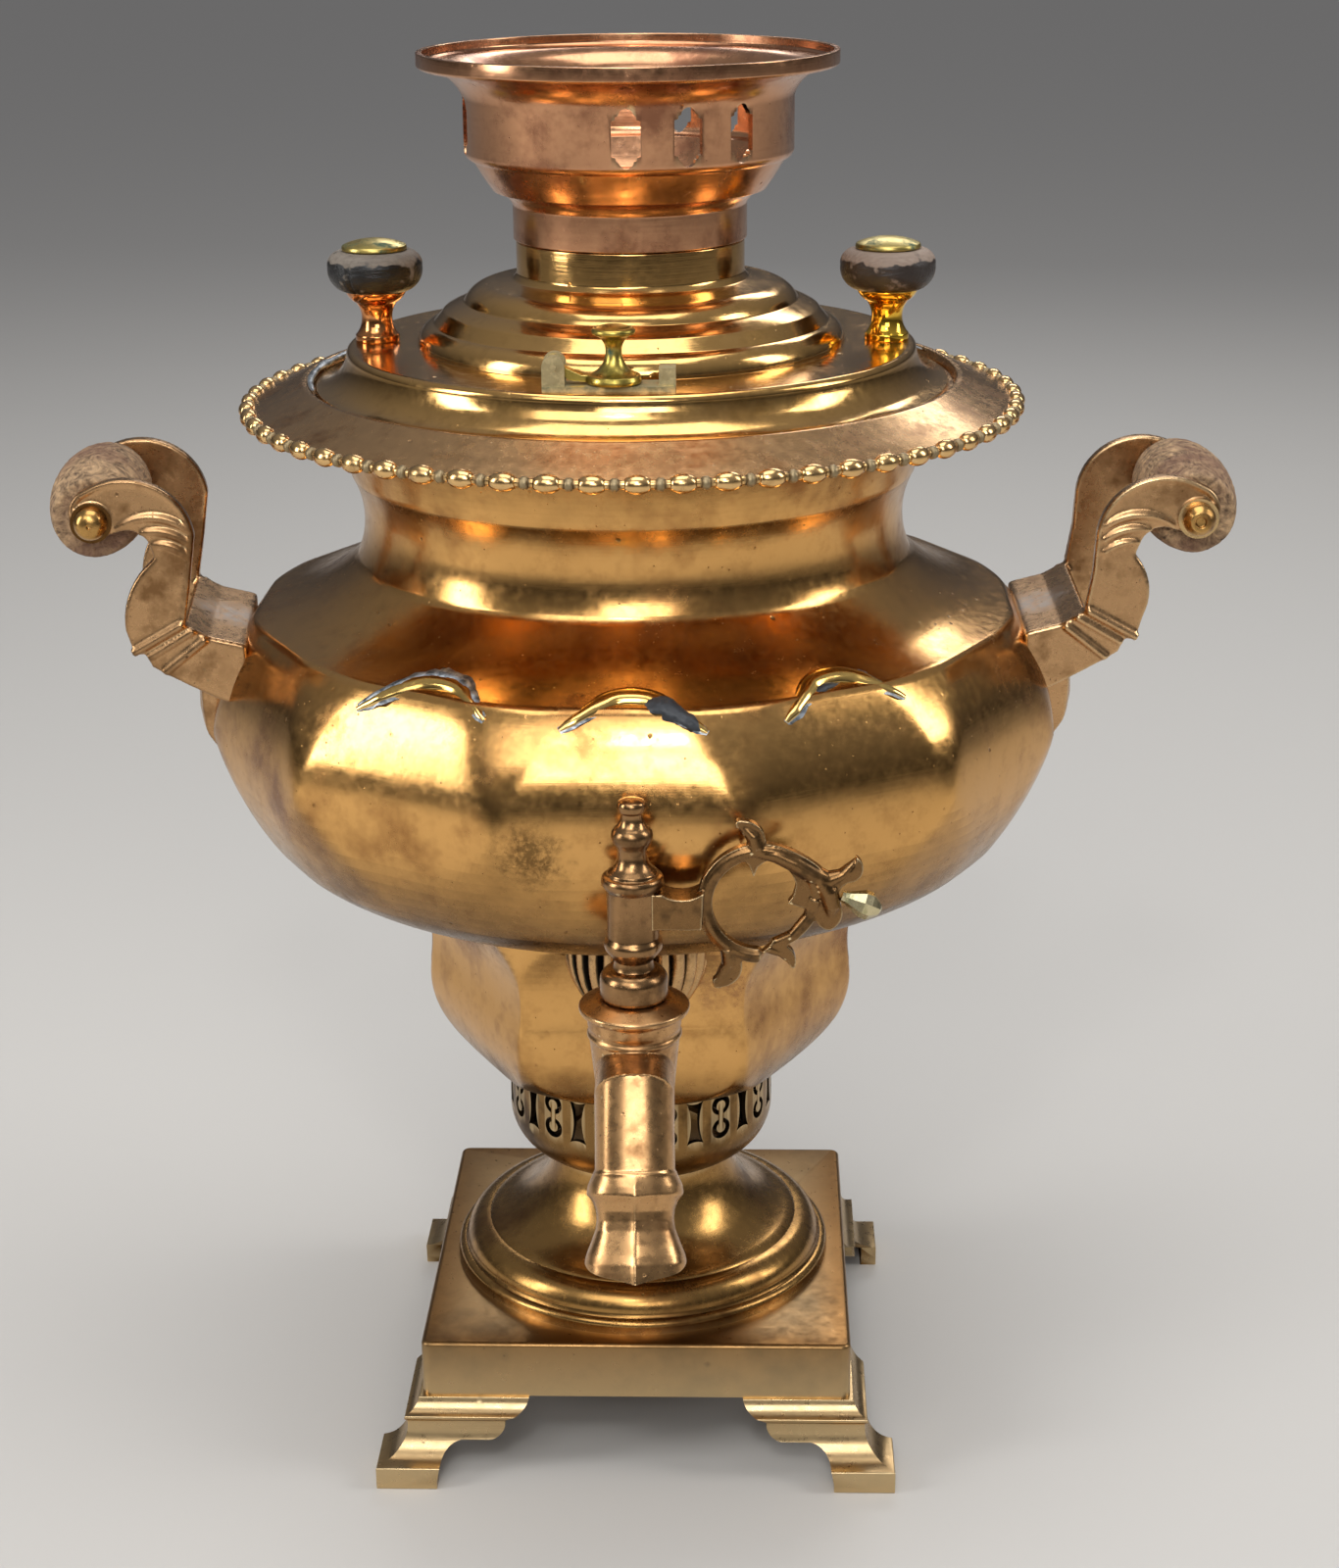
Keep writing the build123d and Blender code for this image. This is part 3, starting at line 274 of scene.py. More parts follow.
    tone, height = linear(clean), 0.0
    rough = add(tree, "ShaderNodeMapRange", {
        "Value": fine, "From Min": 0.3, "From Max": 0.7, "To Min": gloss - 0.04,
        "To Max": gloss + 0.07})
    for share, colour in films_and_painted_light:
        tone = add(tree, "ShaderNodeMix", {0: share, 6: tone, 7: linear(colour)}, data_type="RGBA")
    for share, amount in scuffs:
        rough = add(tree, "ShaderNodeMath", {
            0: share, 1: amount, 2: rough}, operation="MULTIPLY_ADD")
    for pattern, proud in reliefs:
        height = add(tree, "ShaderNodeMath", {
            0: pattern, 1: proud, 2: height}, operation="MULTIPLY_ADD")
    bump = add(tree, "ShaderNodeBump", {"Height": height, "Distance": 1.0 * MM})
    metal = add(tree, "ShaderNodeBsdfPrincipled", {
        "Base Color": tone, "Metallic": 1.0, "Roughness": rough, "Normal": bump})
    add(tree, "ShaderNodeOutputMaterial", {"Surface": metal})
    return material


# Browned brass: a dull gold-brown satin with a deeper veil over half of it.
browned_brass = brass("browned_cast_brass", "#866033", "#5A3E1E", 0.30, 70, 0.45,
                      pits=0.05, pit_size=9, wobble=0.25, edge=0.5)


def fit(piece, body, slot_name, material, *replaced):
    """Gives a piece its finish and fixes it to its body."""
    piece.data.materials.clear()
    piece.data.materials.append(material)
    if replaced:
        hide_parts(*replaced)
    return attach(piece, body)


def shaded(piece, crease=38):
    """Shades a piece smooth. Edges turned further than crease, in degrees, stay sharp."""
    piece.data.polygons.foreach_set("use_smooth", [True] * len(piece.data.polygons))
    piece.data.set_sharp_from_angle(angle=math.radians(crease))
    if piece.name not in scene.collection.objects:
        scene.collection.objects.link(piece)
    return piece


def made(name, vertices, faces, crease=38):
    """A smooth-shaded object from points in mm."""
    mesh = bpy.data.meshes.new(name)
    mesh.from_pydata([(x * MM, y * MM, z * MM) for x, y, z in vertices], [], faces)
    work = bmesh.new()
    work.from_mesh(mesh)
    bmesh.ops.recalc_face_normals(work, faces=work.faces)
    work.to_mesh(mesh)
    work.free()
    return shaded(bpy.data.objects.new(name, mesh), crease)


def skinned(name, rings, crease=38, closed=False, capped=False):
    """A skin over rings of equally many points; closed joins the last ring to the first."""
    count = len(rings[0])
    vertices = [p for ring in rings for p in ring]
    faces = []
    pairs = list(zip(range(len(rings) - 1), range(1, len(rings))))
    if closed:
        pairs.append((len(rings) - 1, 0))
    for a, b in pairs:
        for i in range(count):
            j = (i + 1) % count
            faces.append((a * count + i, a * count + j, b * count + j, b * count + i))
    if capped:
        faces.append(tuple(range(count)))
        faces.append(tuple(range((len(rings) - 1) * count, len(rings) * count)))
    return made(name, vertices, faces, crease)


def applied(piece):
    """Makes a piece's modifiers part of its mesh."""
    bpy.context.view_layer.update()
    whole = piece.evaluated_get(bpy.context.evaluated_depsgraph_get())
    mesh = bpy.data.meshes.new_from_object(whole)
    piece.modifiers.clear()
    piece.data = mesh
    return piece


sliver = 2e-6       # metres; a face thinner than this is a leftover of a cut


def cut(piece, tool, how="DIFFERENCE"):
    """Cuts a piece with a tool, or keeps what they share, and throws the tool away."""
    step = piece.modifiers.new("cut", "BOOLEAN")
    step.object, step.operation, step.solver = tool, how, "MANIFOLD"
    applied(piece)
    bpy.data.objects.remove(tool)
    work = bmesh.new()
    work.from_mesh(piece.data)
    bmesh.ops.dissolve_degenerate(work, edges=work.edges, dist=sliver)
    work.to_mesh(piece.data)
    work.free()
    return piece


plinth_half = 78.0
plinth_low, plinth_top = 29.5, 51.0
plinth_wall = 3.0
plinth_bore = 49.7


def tray(half, low, high, corner, round_top):
    """Rings of a square box with rounded corners, from its open foot up to its flat top."""
    rings = []
    levels = [(0.0, low)] + [(round_top * (1 - math.cos(t)), high - round_top * (1 - math.sin(t)))
                             for t in (i * math.pi / 12 for i in range(7))]
    for inset, level in levels:
        ring = []
        for quarter in range(4):
            for i in range(9):
                t = math.radians(90 * quarter + i * 90 / 8)
                centre = half - corner
                cx = centre if quarter in (0, 3) else -centre
                cy = centre if quarter in (0, 1) else -centre
                ring.append((cx + (corner - inset) * math.cos(t),
                             cy + (corner - inset) * math.sin(t), level))
        rings.append(ring)
    return rings


def ring_at(radius, level, count):
    """Points round the upright axis."""
    turns = [math.tau * i / count for i in range(count)]
    return [(radius * math.cos(t), radius * math.sin(t), level) for t in turns]


outer = tray(plinth_half, plinth_low, plinth_top, corner=3.5, round_top=1.6)
inner = tray(plinth_half - plinth_wall, plinth_low, plinth_top - plinth_wall,
             corner=1.5, round_top=0.6)
corners = len(outer[0])
vertices = [p for ring in outer + inner for p in ring]
faces = []
for start, rings in ((0, outer), (len(outer) * corners, inner)):
    for r in range(len(rings) - 1):
        for i in range(corners):
            a, b = start + r * corners, start + (r + 1) * corners
            faces.append((a + i, a + (i + 1) % corners, b + (i + 1) % corners, b + i))
    last = start + (len(rings) - 1) * corners
    faces.append(tuple(range(last, last + corners)))
second = len(outer) * corners
faces += [(i, (i + 1) % corners, second + (i + 1) % corners, second + i) for i in range(corners)]
plinth = made("plinth_tray", vertices, faces)
cut(plinth, skinned("bore", [ring_at(plinth_bore, level, 96) for level in (40, 60)], capped=True))
shaded(plinth)
fit(plinth, "samovar", "base_brass", browned_brass, "plinth")


# ---- Feet -----------------------------------------------------------------------
# Four bracket feet of cast brass, soldered under the plinth's corners. Each is two
# mitred wings that flare out in an ogee over a flat pad, with a small moulding on top.

# Filed cast brass: the plinth's brown, with more pits, and its ridges lightened, partly rubbed pale
# and partly painted highlight.
foot_brass = brass("filed_cast_brass", "#86643A", "#5C4222", 0.28, 40, 0.4,
                   pits=0.10, pit_size=8, wobble=0.2, edge=0.6)
foot_height, foot_spread, foot_wall = 29.5, 94.0, 6.0


def arc(a, b, c, turn=5):
    """Points along the arc from a through b to c, without a, turn degrees apart."""
    (ax, ay), (bx, by), (cx, cy) = a, b, c
    d = 2 * (ax * (by - cy) + bx * (cy - ay) + cx * (ay - by))
    sa, sb, sc = ax * ax + ay * ay, bx * bx + by * by, cx * cx + cy * cy
    ux = (sa * (by - cy) + sb * (cy - ay) + sc * (ay - by)) / d
    uy = (sa * (cx - bx) + sb * (ax - cx) + sc * (bx - ax)) / d
    first = math.atan2(ay - uy, ax - ux)
    sweep = (math.atan2(cy - uy, cx - ux) - first) % math.tau
    if (math.atan2(by - uy, bx - ux) - first) % math.tau > sweep:
        sweep -= math.tau
    reach = math.hypot(ax - ux, ay - uy)
    runs = max(2, round(abs(math.degrees(sweep)) / turn))
    return [(ux + reach * math.cos(first + sweep * i / runs),
             uy + reach * math.sin(first + sweep * i / runs)) for i in range(1, runs + 1)]


eased_turn = 0.35       # radians; a corner that turns less than this is left alone


def drawn(start, *steps, turn=5):
    """A line of (across, up) points. A step is a point, or a pair of them for an arc."""
    points = [start]
    for step in steps:
        if isinstance(step[0], tuple):
            points += arc(points[-1], step[0], step[1], turn)
        elif step != points[-1]:
            points.append(step)
    return points


def outline(*line, ease=0.6):
    """A closed line, drawn in the same way, with its corners eased as a polisher leaves them."""
    points, eased = drawn(*line), []
    for i, point in enumerate(points):
        here = Vector(point)
        into = here - Vector(points[i - 1])
        out = Vector(points[(i + 1) % len(points)]) - here
        on_axis = point[0] < 0.01
        if on_axis or min(into.length, out.length) < 1e-6 or into.angle(out) < eased_turn:
            eased.append(point)
            continue
        a = here - into.normalized() * min(ease, 0.45 * into.length)
        b = here + out.normalized() * min(ease, 0.45 * out.length)
        for t in (0, 0.25, 0.5, 0.75, 1):
            spot = a * (1 - t) ** 2 + here * (2 * t * (1 - t)) + b * t * t
            eased.append((spot.x, spot.y))
    return eased


def prism(name, points, near, far, place=Matrix.Identity(4)):
    """An outline in the XZ plane drawn out along Y from near to far, then placed, in mm."""
    rings = [[place @ Vector((x, y, z)) for x, z in points] for y in (near, far)]
    return skinned(name, rings, capped=True)


def turned_by(degrees):
    """A turn about the upright axis."""
    return Matrix.Rotation(math.radians(degrees), 4, "Z")


def flare(inset):
    """A foot's side: its flat pad, ogee and top moulding, pulled in by inset."""
    out, pad, top = plinth_half - inset, foot_spread - inset, foot_height
    return outline(
        (0, 0), (pad, 0), (pad, 8.5), ((out + 8.6, 11.9), (out + 5.2, top - 9.0)),
        (out + 5.2, top - 7.2), (out + 6.2, top - 6.6), (out + 6.2, top - 5.4),
        ((out + 2.8, top - 3.4), (out + 1.2, top)), (0, top), ease=0.5)


def mitred(points, name):
    """An outline run along two sides of the square, mitred at the corner."""
    reach = 2 * foot_spread
    along_side = prism(name, points, -reach, reach)
    along_front = prism(name, points, -reach, reach, turned_by(-90))
    return cut(along_side, along_front, "INTERSECT")


edge_x, pad_end, far = 39.0, 72.0, 99.0
wing = outline(
    (far, -1), (far, 30.5), (edge_x, 30.5), (edge_x, 29.5),
    ((edge_x + 1.2, 26.5), (edge_x + 4.2, 24.3)), (edge_x + 8.0, 23.1), (edge_x + 8.6, 22.1),
    ((edge_x + 10.2, 16.9), (edge_x + 14.5, 14.9)), (pad_end - 8.5, 14.9),
    ((pad_end - 3.6, 12.5), (pad_end - 1.0, 8.5)), (pad_end, 3.0), (pad_end, -1), ease=0.5)
foot = cut(mitred(flare(0), "foot"), mitred(flare(foot_wall), "hollow"))
cut(foot, mitred(wing, "wing"), "INTERSECT")
for turn, corner in enumerate(("front_right", "rear_right", "rear_left", "front_left")):
    mesh = foot.data.copy()
    mesh.transform(turned_by(90 * turn))
    piece = shaded(bpy.data.objects.new(f"bracket_foot_{corner}", mesh), 30)
    fit(piece, "samovar", "base_brass", foot_brass, f"foot_{corner}")
bpy.data.objects.remove(foot)


# ---- Pedestal -------------------------------------------------------------------
# A hollow bell spun from sheet brass on a wooden former. It stands on the plinth and
# carries the air gallery; the low torus at its edge was rolled in while it turned.

def spun(name, points, segments=160, place=Matrix.Identity(4), crease=38):
    """A piece turned about its upright axis, from a closed line of (radius, height) points."""
    vertices, rows = [], []
    for radius, height in points:
        if radius < 1e-6:
            rows.append([len(vertices)] * segments)
            vertices.append((0.0, 0.0, height))
        else:
            rows.append(list(range(len(vertices), len(vertices) + segments)))
            vertices += ring_at(radius, height, segments)
    faces = []
    for row, above in zip(rows, rows[1:] + rows[:1]):
        if row[0] == row[1] and above[0] == above[1]:
            continue
        for i in range(segments):
            j = (i + 1) % segments
            faces.append(tuple(dict.fromkeys((row[i], row[j], above[j], above[i]))))
    return made(name, [place @ Vector(v) for v in vertices], faces, crease)


# Browned spun brass: smoother than the castings, with faint rings from the lathe.
spun_brown = brass("browned_spun_brass", "#AC834B", "#6B4A28", 0.22, 60, 0.5,
                   pits=0.04, pit_size=8, wobble=0.15, streak=0.5, edge=0.4)
sheet = 2.0
gallery_low = 95.0
bell_height = gallery_low - plinth_top


def bell(inset):
    """The bell's line from its top down to its edge, pulled in by the sheet."""
    top, crease, base = 33.0 - inset, 57.7 - inset, 71.0 - inset
    waist = top + 0.30 * (crease - top)
    low = plinth_top - inset
    middle = (waist, plinth_top + 0.60 * bell_height)
    return drawn(
        (top, gallery_low), (middle, (crease, low + 15.5)), (crease + 1.0, low + 14.5),
        ((base - 5.6, low + 11.6), (base - 3.4, low + 6.2)), (base - 2.6, low + 5.2),
        ((base - 0.6, low + 4.4), (base, low + 2.6)), (base, plinth_top))


pedestal = spun("pedestal_bell", bell(0) + bell(sheet)[::-1])
fit(pedestal, "samovar", "base_brass", spun_brown, "pedestal")


# ---- Air gallery ----------------------------------------------------------------
# A spun cup under the vessel, sawn through in turn with spool-shaped holes and pairs of
# scrolls, so that air reaches the grate. Soot and old polish sit in the sawn edges.

# Sawn spun brass: darker and greyer, pitted, with painted shade, near black, in its corners.
gallery_brass = brass("sawn_spun_brass", "#8C6A3E", "#523B22", 0.28, 30, 0.5,
                      pits=0.12, pit_size=6, wobble=0.15, edge=0.5, dirt_and_crevice_shade="#1B120C", green=0.1)
vessel_low = 135.5
cup = vessel_low - gallery_low
wide, neck_r = 49.4, 33.0
gallery = spun("air_gallery_cup", outline(
    (wide, vessel_low), (wide, gallery_low + 0.44 * cup),
    ((wide - 3.6, gallery_low + 0.20 * cup), (wide - 13.0, gallery_low + 2.0)),
    (neck_r, gallery_low), (neck_r - 4, gallery_low), (neck_r - 4, gallery_low + sheet),
    (wide - 13.5, gallery_low + 2.0 + sheet),
    ((wide - 5.3, gallery_low + 0.22 * cup), (wide - sheet, gallery_low + 0.46 * cup)),
    (wide - sheet, vessel_low - 2.0), (wide - 4.4, vessel_low - 2.0), (wide - 4.4, vessel_low),
    ease=0.3), 196)
spool = drawn((-3.3, -8.5), ((0, -7.6), (3.3, -8.5)), ((1.7, 0), (3.3, 8.5)),
              ((0, 7.6), (-3.3, 8.5)), ((-1.7, 0), (-3.3, -8.5)))[:-1]
scroll = drawn((1.0, 0.9), ((4.1, 4.9), (0, 8.7)), ((-4.1, 4.9), (-1.0, 0.9)), (-0.9, 2.6),
               ((-2.0, 4.7), (0, 6.4)), ((2.0, 4.7), (0.9, 2.6)))
pierced = gallery_low + 0.70 * cup
cells = 14
saw_from, saw_to = -wide - 4, -wide + 5
tools = bmesh.new()
for number in range(cells):
    for hole, shift, flip in ((spool, 0.0, 1), (scroll, 0.5, 1), (scroll, 0.5, -1)):
        turn = turned_by((number + shift) * 360 / cells)
        rims = [[tools.verts.new((turn @ Vector((x, depth, pierced + flip * z))) * MM)
                 for x, z in hole] for depth in (saw_from, saw_to)]
        count = len(hole)
        for i in range(count):
            j = (i + 1) % count
            tools.faces.new((rims[0][i], rims[0][j], rims[1][j], rims[1][i]))
        tools.faces.new(rims[0])
        tools.faces.new(rims[1])
bmesh.ops.recalc_face_normals(tools, faces=tools.faces)
tool_mesh = bpy.data.meshes.new("saw")
tools.to_mesh(tool_mesh)
tools.free()
saw = bpy.data.objects.new("saw", tool_mesh)
scene.collection.objects.link(saw)
cut(gallery, saw)
shaded(gallery, 32)
fit(gallery, "samovar", "base_brass", gallery_brass, "air_gallery")

# Sooty brass: inside, and in the sawn edges, soot from the ash has covered the metal.
gallery_soot = brass("sooty_brass", "#4A3A28", "#1A1512", 0.5, 12, 0.6)
gallery.data.materials.append(gallery_soot)
soot_level, soot_radius = gallery_low + 4, neck_r + 5       # mm; the cup's foot stays clean
faces_out, faces_down = 0.5, -0.5       # how far a face that stays clean looks out, or down
for face in gallery.data.polygons:
    spot, way = face.center / MM, face.normal
    reach = math.hypot(spot.x, spot.y)
    outward = (spot.x * way.x + spot.y * way.y) / reach
    in_cup = spot.z > soot_level and reach > soot_radius
    if in_cup and outward < faces_out and way.z > faces_down:
        face.material_index = 1


# ---- Vessel ---------------------------------------------------------------------
# The urn itself: a vase of 2 mm brass sheet, spun, then pressed flat into twelve lens
# shaped facets round the belly and six round the bowl, and polished to a mirror.

# Hand-polished brass: nearly a mirror, golden, rippled by the hammer and stained brown.
# Painted shade darkens its faces that look down.
body_brass = brass(
    "hand_polished_brass", "#D8A562", "#95663A", 0.17, 70, 0.46, pits=0.16, pit_size=5.5,
    wobble=0.38, streak=0.3, dirt_and_crevice_shade="#5E3A18", underside_shade=0.8, stains=(
        (-27, -148, 266, 17, "#3A2918", 0.7), (4, -80, 200, 27, "#2E2319", 0.75),
        (32, -74, 190, 22, "#74453F", 0.5), (-96, -112, 300, 15, "#8A5A33", 0.5)))
waist, belly_level, neck_level, collar_level = 217.0, 271.0, 326.0, 380.0
bowl_radius, belly_radius, neck_radius = 79.5, 151.8, 94.5


def vase_line(t):
    """The vase's line from its foot to its brim, pulled in by a wall t."""
    g, b, w, n = wide, bowl_radius, belly_radius, neck_radius
    line = [(g - t, vessel_low + 0.3 * t)]
    for middle, end in (
        ((g + 15.4 - 0.5 * t, vessel_low + 4.4 + 0.9 * t),
         (b - 5.4 - 0.8 * t, vessel_low + 12.6 + 0.6 * t)),
        ((b - 2.1 - t, vessel_low + 20.0), (b - 1.2 - t, vessel_low + 32.0)),
        (None, (b - t, waist - 7.0)),
        ((b + 2.0 - 0.7 * t, waist - 2.0 + 0.7 * t), (b + 7.0, waist + t)),
        ((w - 38.8, waist + 1.8 + t), (w - 18.8 - 0.6 * t, waist + 14.0 + 0.8 * t)),
        ((w - 6.0 - 0.9 * t, belly_level - 17.5 + 0.4 * t), (w - t, belly_level)),
        ((w - 4.2 - 0.9 * t, belly_level + 17.5),
         (w - 17.8 - 0.8 * t, belly_level + 39.2 - 0.6 * t)),
        ((n + 19.0, neck_level - 9.0 - t), (n + 3.0 - 0.7 * t, neck_level + 3.0 - 0.7 * t)),
        ((n - t, neck_level + 18.0), (n + 4.0 - t, neck_level + 33.0)),
        ((n + 7.2 - t, neck_level + 45.0), (n + 11.5 - t, collar_level)),
    ):
        if middle:
            line += arc(line[-1], middle, end, 2.2)
        else:
            near = Vector(line[-1])
            line += [tuple(near.lerp(Vector(end), i / 16)) for i in range(1, 17)]
    return line


def level_on(points, level):
    """Where an upright line of points stands at a level."""
    for (r0, z0), (r1, z1) in zip(points, points[1:]):
        if z0 <= level <= z1:
            return r0 + (r1 - r0) * (level - z0) / max(z1 - z0, 1e-9)
    return points[0][0] if level < points[0][1] else points[-1][0]


inside = 0.03           # mm; keeps the belly's flats within the built size
belly_flat = belly_radius * math.cos(math.pi / 12) - inside
bowl_flat = (bowl_radius - 1.4) * math.cos(math.pi / 6)
belly_press = drawn(
    (belly_flat - 31, waist), ((belly_flat, belly_level), (belly_flat - 33.5, neck_level)),
    turn=1.5)
bowl_press = drawn(
    (bowl_flat - 9.5, vessel_low + 0.5),
    ((bowl_flat - 1.4, vessel_low + 14), (bowl_flat, vessel_low + 36)),
    ((bowl_flat + 2.6, vessel_low + 60), (bowl_radius + 1, waist - 5)), turn=2)
soft = 0.3              # mm; how softly one pressed facet runs into the next


def vase_radius(radius, level, angle, inset=0.0):
    """How far the pressed vase stands out at an angle, where the spun one stood at radius."""
    reaches = [radius]
    for press, pressed, half in (
        (belly_press, waist - 1 < level <= neck_level + 4, math.pi / 12),
        (bowl_press, level < waist - 5, math.pi / 6),
    ):
        if pressed:
            aside = (angle + half + math.pi / 2) % (2 * half) - half
            reaches.append((level_on(press, level) - inset) / math.cos(aside))
    least = min(reaches)
    return least - soft * math.log(sum(math.exp((least - r) / soft) for r in reaches))


def vase_rings(inset, count):
    """The pressed vase as rings of points, pulled in by inset."""
    turns = [math.tau * i / count for i in range(count)]
    rings = []
    for radius, level in vase_line(inset):
        reaches = [(t, vase_radius(radius, level, t, inset)) for t in turns]
        rings.append([(reach * math.cos(t), reach * math.sin(t), level) for t, reach in reaches])
    return rings


def vase_core(low, high):
    """The inside of the vessel between two levels, reaching halfway into its sheet."""
    rings = [ring for ring in vase_rings(1.2, 120) if low < ring[0][2] < high]
    return skinned("vase_core", rings, capped=True)


def dress(material, *names):
    """Finishes CAD nodes whose own shape stays in view."""
    for name in names:
        nodes[name].data.materials.clear()
        nodes[name].data.materials.append(material)


around = 480            # points in a ring; inside, every third ring is enough
vase_rows = vase_rings(0, around) + vase_rings(sheet, around)[::-3]
vessel = skinned("pressed_vessel", vase_rows, 60, closed=True)
fit(vessel, "samovar", "polished_brass", body_brass,
    *sorted(n for n in nodes if n.startswith("vessel_") and n != "vessel_bottom"))
dress(spun_brown, "vessel_bottom")


# ---- Crescents on the belly -------------------------------------------------------
# Three cast crescents soldered on top of the front facets. The left one is almost
# drowned in grey solder, and dark flux has burnt on beside the other two.

# Bright cast brass: the yellowest metal here, rubbed to a shine each time it is wiped.
crescent_brass = brass("bright_cast_brass", "#EDC36E", "#A97A33", 0.14, 12, 0.35, edge=0.4)


def lumpy(name, dark, pale, size, low, high, proud, metallic, roughness, detail=5.0, grit=0.5):
    """A finish whose colour and relief follow one cloud. size and proud are in mm."""
    material, tree = blank(name)
    here = add(tree, "ShaderNodeTexCoord").outputs["Object"]
    lumps = add(tree, "ShaderNodeTexNoise", {
        "Vector": here, "Scale": 1000 / size, "Detail": detail, "Roughness": grit})
    share = add(tree, "ShaderNodeMapRange", {"Value": lumps, "From Min": low, "From Max": high})
    tone = add(tree, "ShaderNodeMix", {
        0: share, 6: linear(dark), 7: linear(pale)}, data_type="RGBA")
    dents = add(tree, "ShaderNodeBump", {"Height": lumps, "Distance": proud * MM})
    skin = add(tree, "ShaderNodeBsdfPrincipled", {
        "Base Color": tone, "Metallic": metallic, "Roughness": roughness, "Normal": dents})
    add(tree, "ShaderNodeOutputMaterial", {"Surface": skin})
    return material


# Solder: soft grey lumps with paler crests. Flux: a blue-black crust, barely shiny.
solder = lumpy("tin_lead_solder", "#4C5258", "#B9BEC2", 3.0, 0.35, 0.62, 0.6, 0.85, 0.34, grit=0.6)
flux = lumpy("burnt_flux", "#17191D", "#3B4046", 2.0, 0.0, 1.0, 0.5, 0.0, 0.45)
vase_outer = vase_line(0)


def on_vessel(angle, level, lift=0.0):
    """A point on the vessel's skin at an angle in degrees, lifted off it a little."""
    turn = math.radians(angle)
    reach = vase_radius(level_on(vase_outer, level), level, turn) + lift
    return Vector((reach * math.cos(turn), reach * math.sin(turn), level))


def bead_run(name, spots, widths, lift, sides=14, rough=0.0):
    """A low, tapered cushion lying on the vessel along a row of (angle, level) spots."""
    rings = []
    for k, (angle, level) in enumerate(spots):
        around_it = [on_vessel(angle + a, level + z) for a in (-1.5, 0, 1.5) for z in (-3, 0, 3)]
        here = sum(around_it, Vector()) / len(around_it)
        out = (on_vessel(angle, level + 5) - on_vessel(angle, level - 5)).normalized()
        before, after = spots[max(k - 1, 0)], spots[min(k + 1, len(spots) - 1)]
        step = (on_vessel(*after) - on_vessel(*before)).normalized()
        normal = step.cross(out).normalized()
        if normal.dot(here) < 0:
            normal.negate()
        across = normal.cross(step).normalized()
        ring = []
        for i in range(sides):
            t = math.tau * i / sides
            jag = 1 + rough * (noise.noise(here * 0.35 + Vector((i * 1.7, k, 0))))
            ring.append(here + across * widths[k] * jag * math.cos(t)
                        + normal * (lift * widths[k] / max(widths) * math.sin(t)))
        rings.append(ring)
    return skinned(name, rings, 60, capped=True)


def lain(name, run, drop, widths, lift, sides, rough, finish):
    """Lays a cushion of metal or crust along a run of spots, a little below them."""
    piece = bead_run(name, [(a, z - drop) for a, z in run], widths, lift, sides, rough)
    fit(piece, "samovar", "cast_brass", finish)


flux_right = [1.6, 2.6, 3.4, 3.9, 4.0, 3.8, 3.4, 2.8, 2.0, 1.0]
flux_left = [0.6, 1.4, 2.0, 2.0, 1.7, 1.2, 0.5]
spans = [k / 12 - 1 for k in range(25)]
swell = [0.6 + 3.6 * math.cos(0.49 * math.pi * u) ** 0.8 for u in spans]
for name, middle, peak, tilt, half in (
    ("left", -117.8, 312.2, 1.6, 10.0), ("centre", -88.0, 312.0, -0.4, 9.6),
    ("right", -58.2, 312.6, 0.4, 9.4),
):
    path = [(middle + half * u, peak - 7.6 * u * u + tilt * u) for u in spans]
    lain(f"crescent_{name}", path, 0.0, swell, 2.7, 14, 0.0, crescent_brass)
    lain(f"solder_seam_{name}", path, 0.3, [w + 0.35 for w in swell], 0.9, 16, 0.5, solder)
    if name == "left":
        lain("solder_coat", path, -0.9, [0.75 * w for w in swell], 3.0, 14, 0.9, solder)
    if name == "centre":
        lain("flux_centre", path[14:24], 0.5, flux_right, 3.0, 14, 0.7, flux)
    if name == "right":
        lain("flux_right", path[7:14], 1.8, flux_left, 1.9, 14, 0.8, flux)


# ---- Collar ---------------------------------------------------------------------
# A sloping brim spun from thicker brass and soldered on the neck. Its edge is a cast
# wire of barrel beads with small reels between them, the beads' crowns lightened, partly
# rubbed bright and partly painted highlight.

# Satin spun brass: soft and pinkish, brown-spotted on top, with painted shade darkening it below.
collar_brass = brass("satin_spun_brass", "#D3A774", "#9A7148", 0.20, 26, 0.5, pits=0.16,
                     pit_size=5, wobble=0.12, streak=0.4, edge=0.4, dirt_and_crevice_shade="#5A3A22", underside_shade=0.35)
# Rubbed cast brass: the bead crowns lightened, partly rubbed bright and partly painted highlight,
# with painted shade, near black, between the beads.
bead_count = 60
bead_brass = brass("rubbed_cast_brass", "#DDB071", "#8E683C", 0.20, 18, 0.35, pits=0.1,
                   pit_size=4, edge=0.5, dirt_and_crevice_shade="#2C2018", ribs=(0.0, 0.0, bead_count))
collar_radius, collar_height, lid_seat = 132.0, 11.0, 387.5
brim_in = neck_radius + 11.5
brim = spun("collar_brim", outline(
    (brim_in - sheet, collar_level), (brim_in + 1.5, collar_level),
    ((brim_in + 3.0, collar_level + 5.0), (brim_in + 8.5, collar_level + 6.4)),
    (collar_radius - 0.5, collar_level + 0.8), (collar_radius + 0.3, collar_level + 2.8),
    ((brim_in + 16.5, collar_level + 6.6), (brim_in + 8.0, collar_level + collar_height)),
    (brim_in + 6.3, collar_level + collar_height), (brim_in + 5.2, lid_seat),
    (brim_in - sheet, lid_seat), ease=0.5), 240)
fit(brim, "samovar", "polished_brass", collar_brass, "collar_ring")

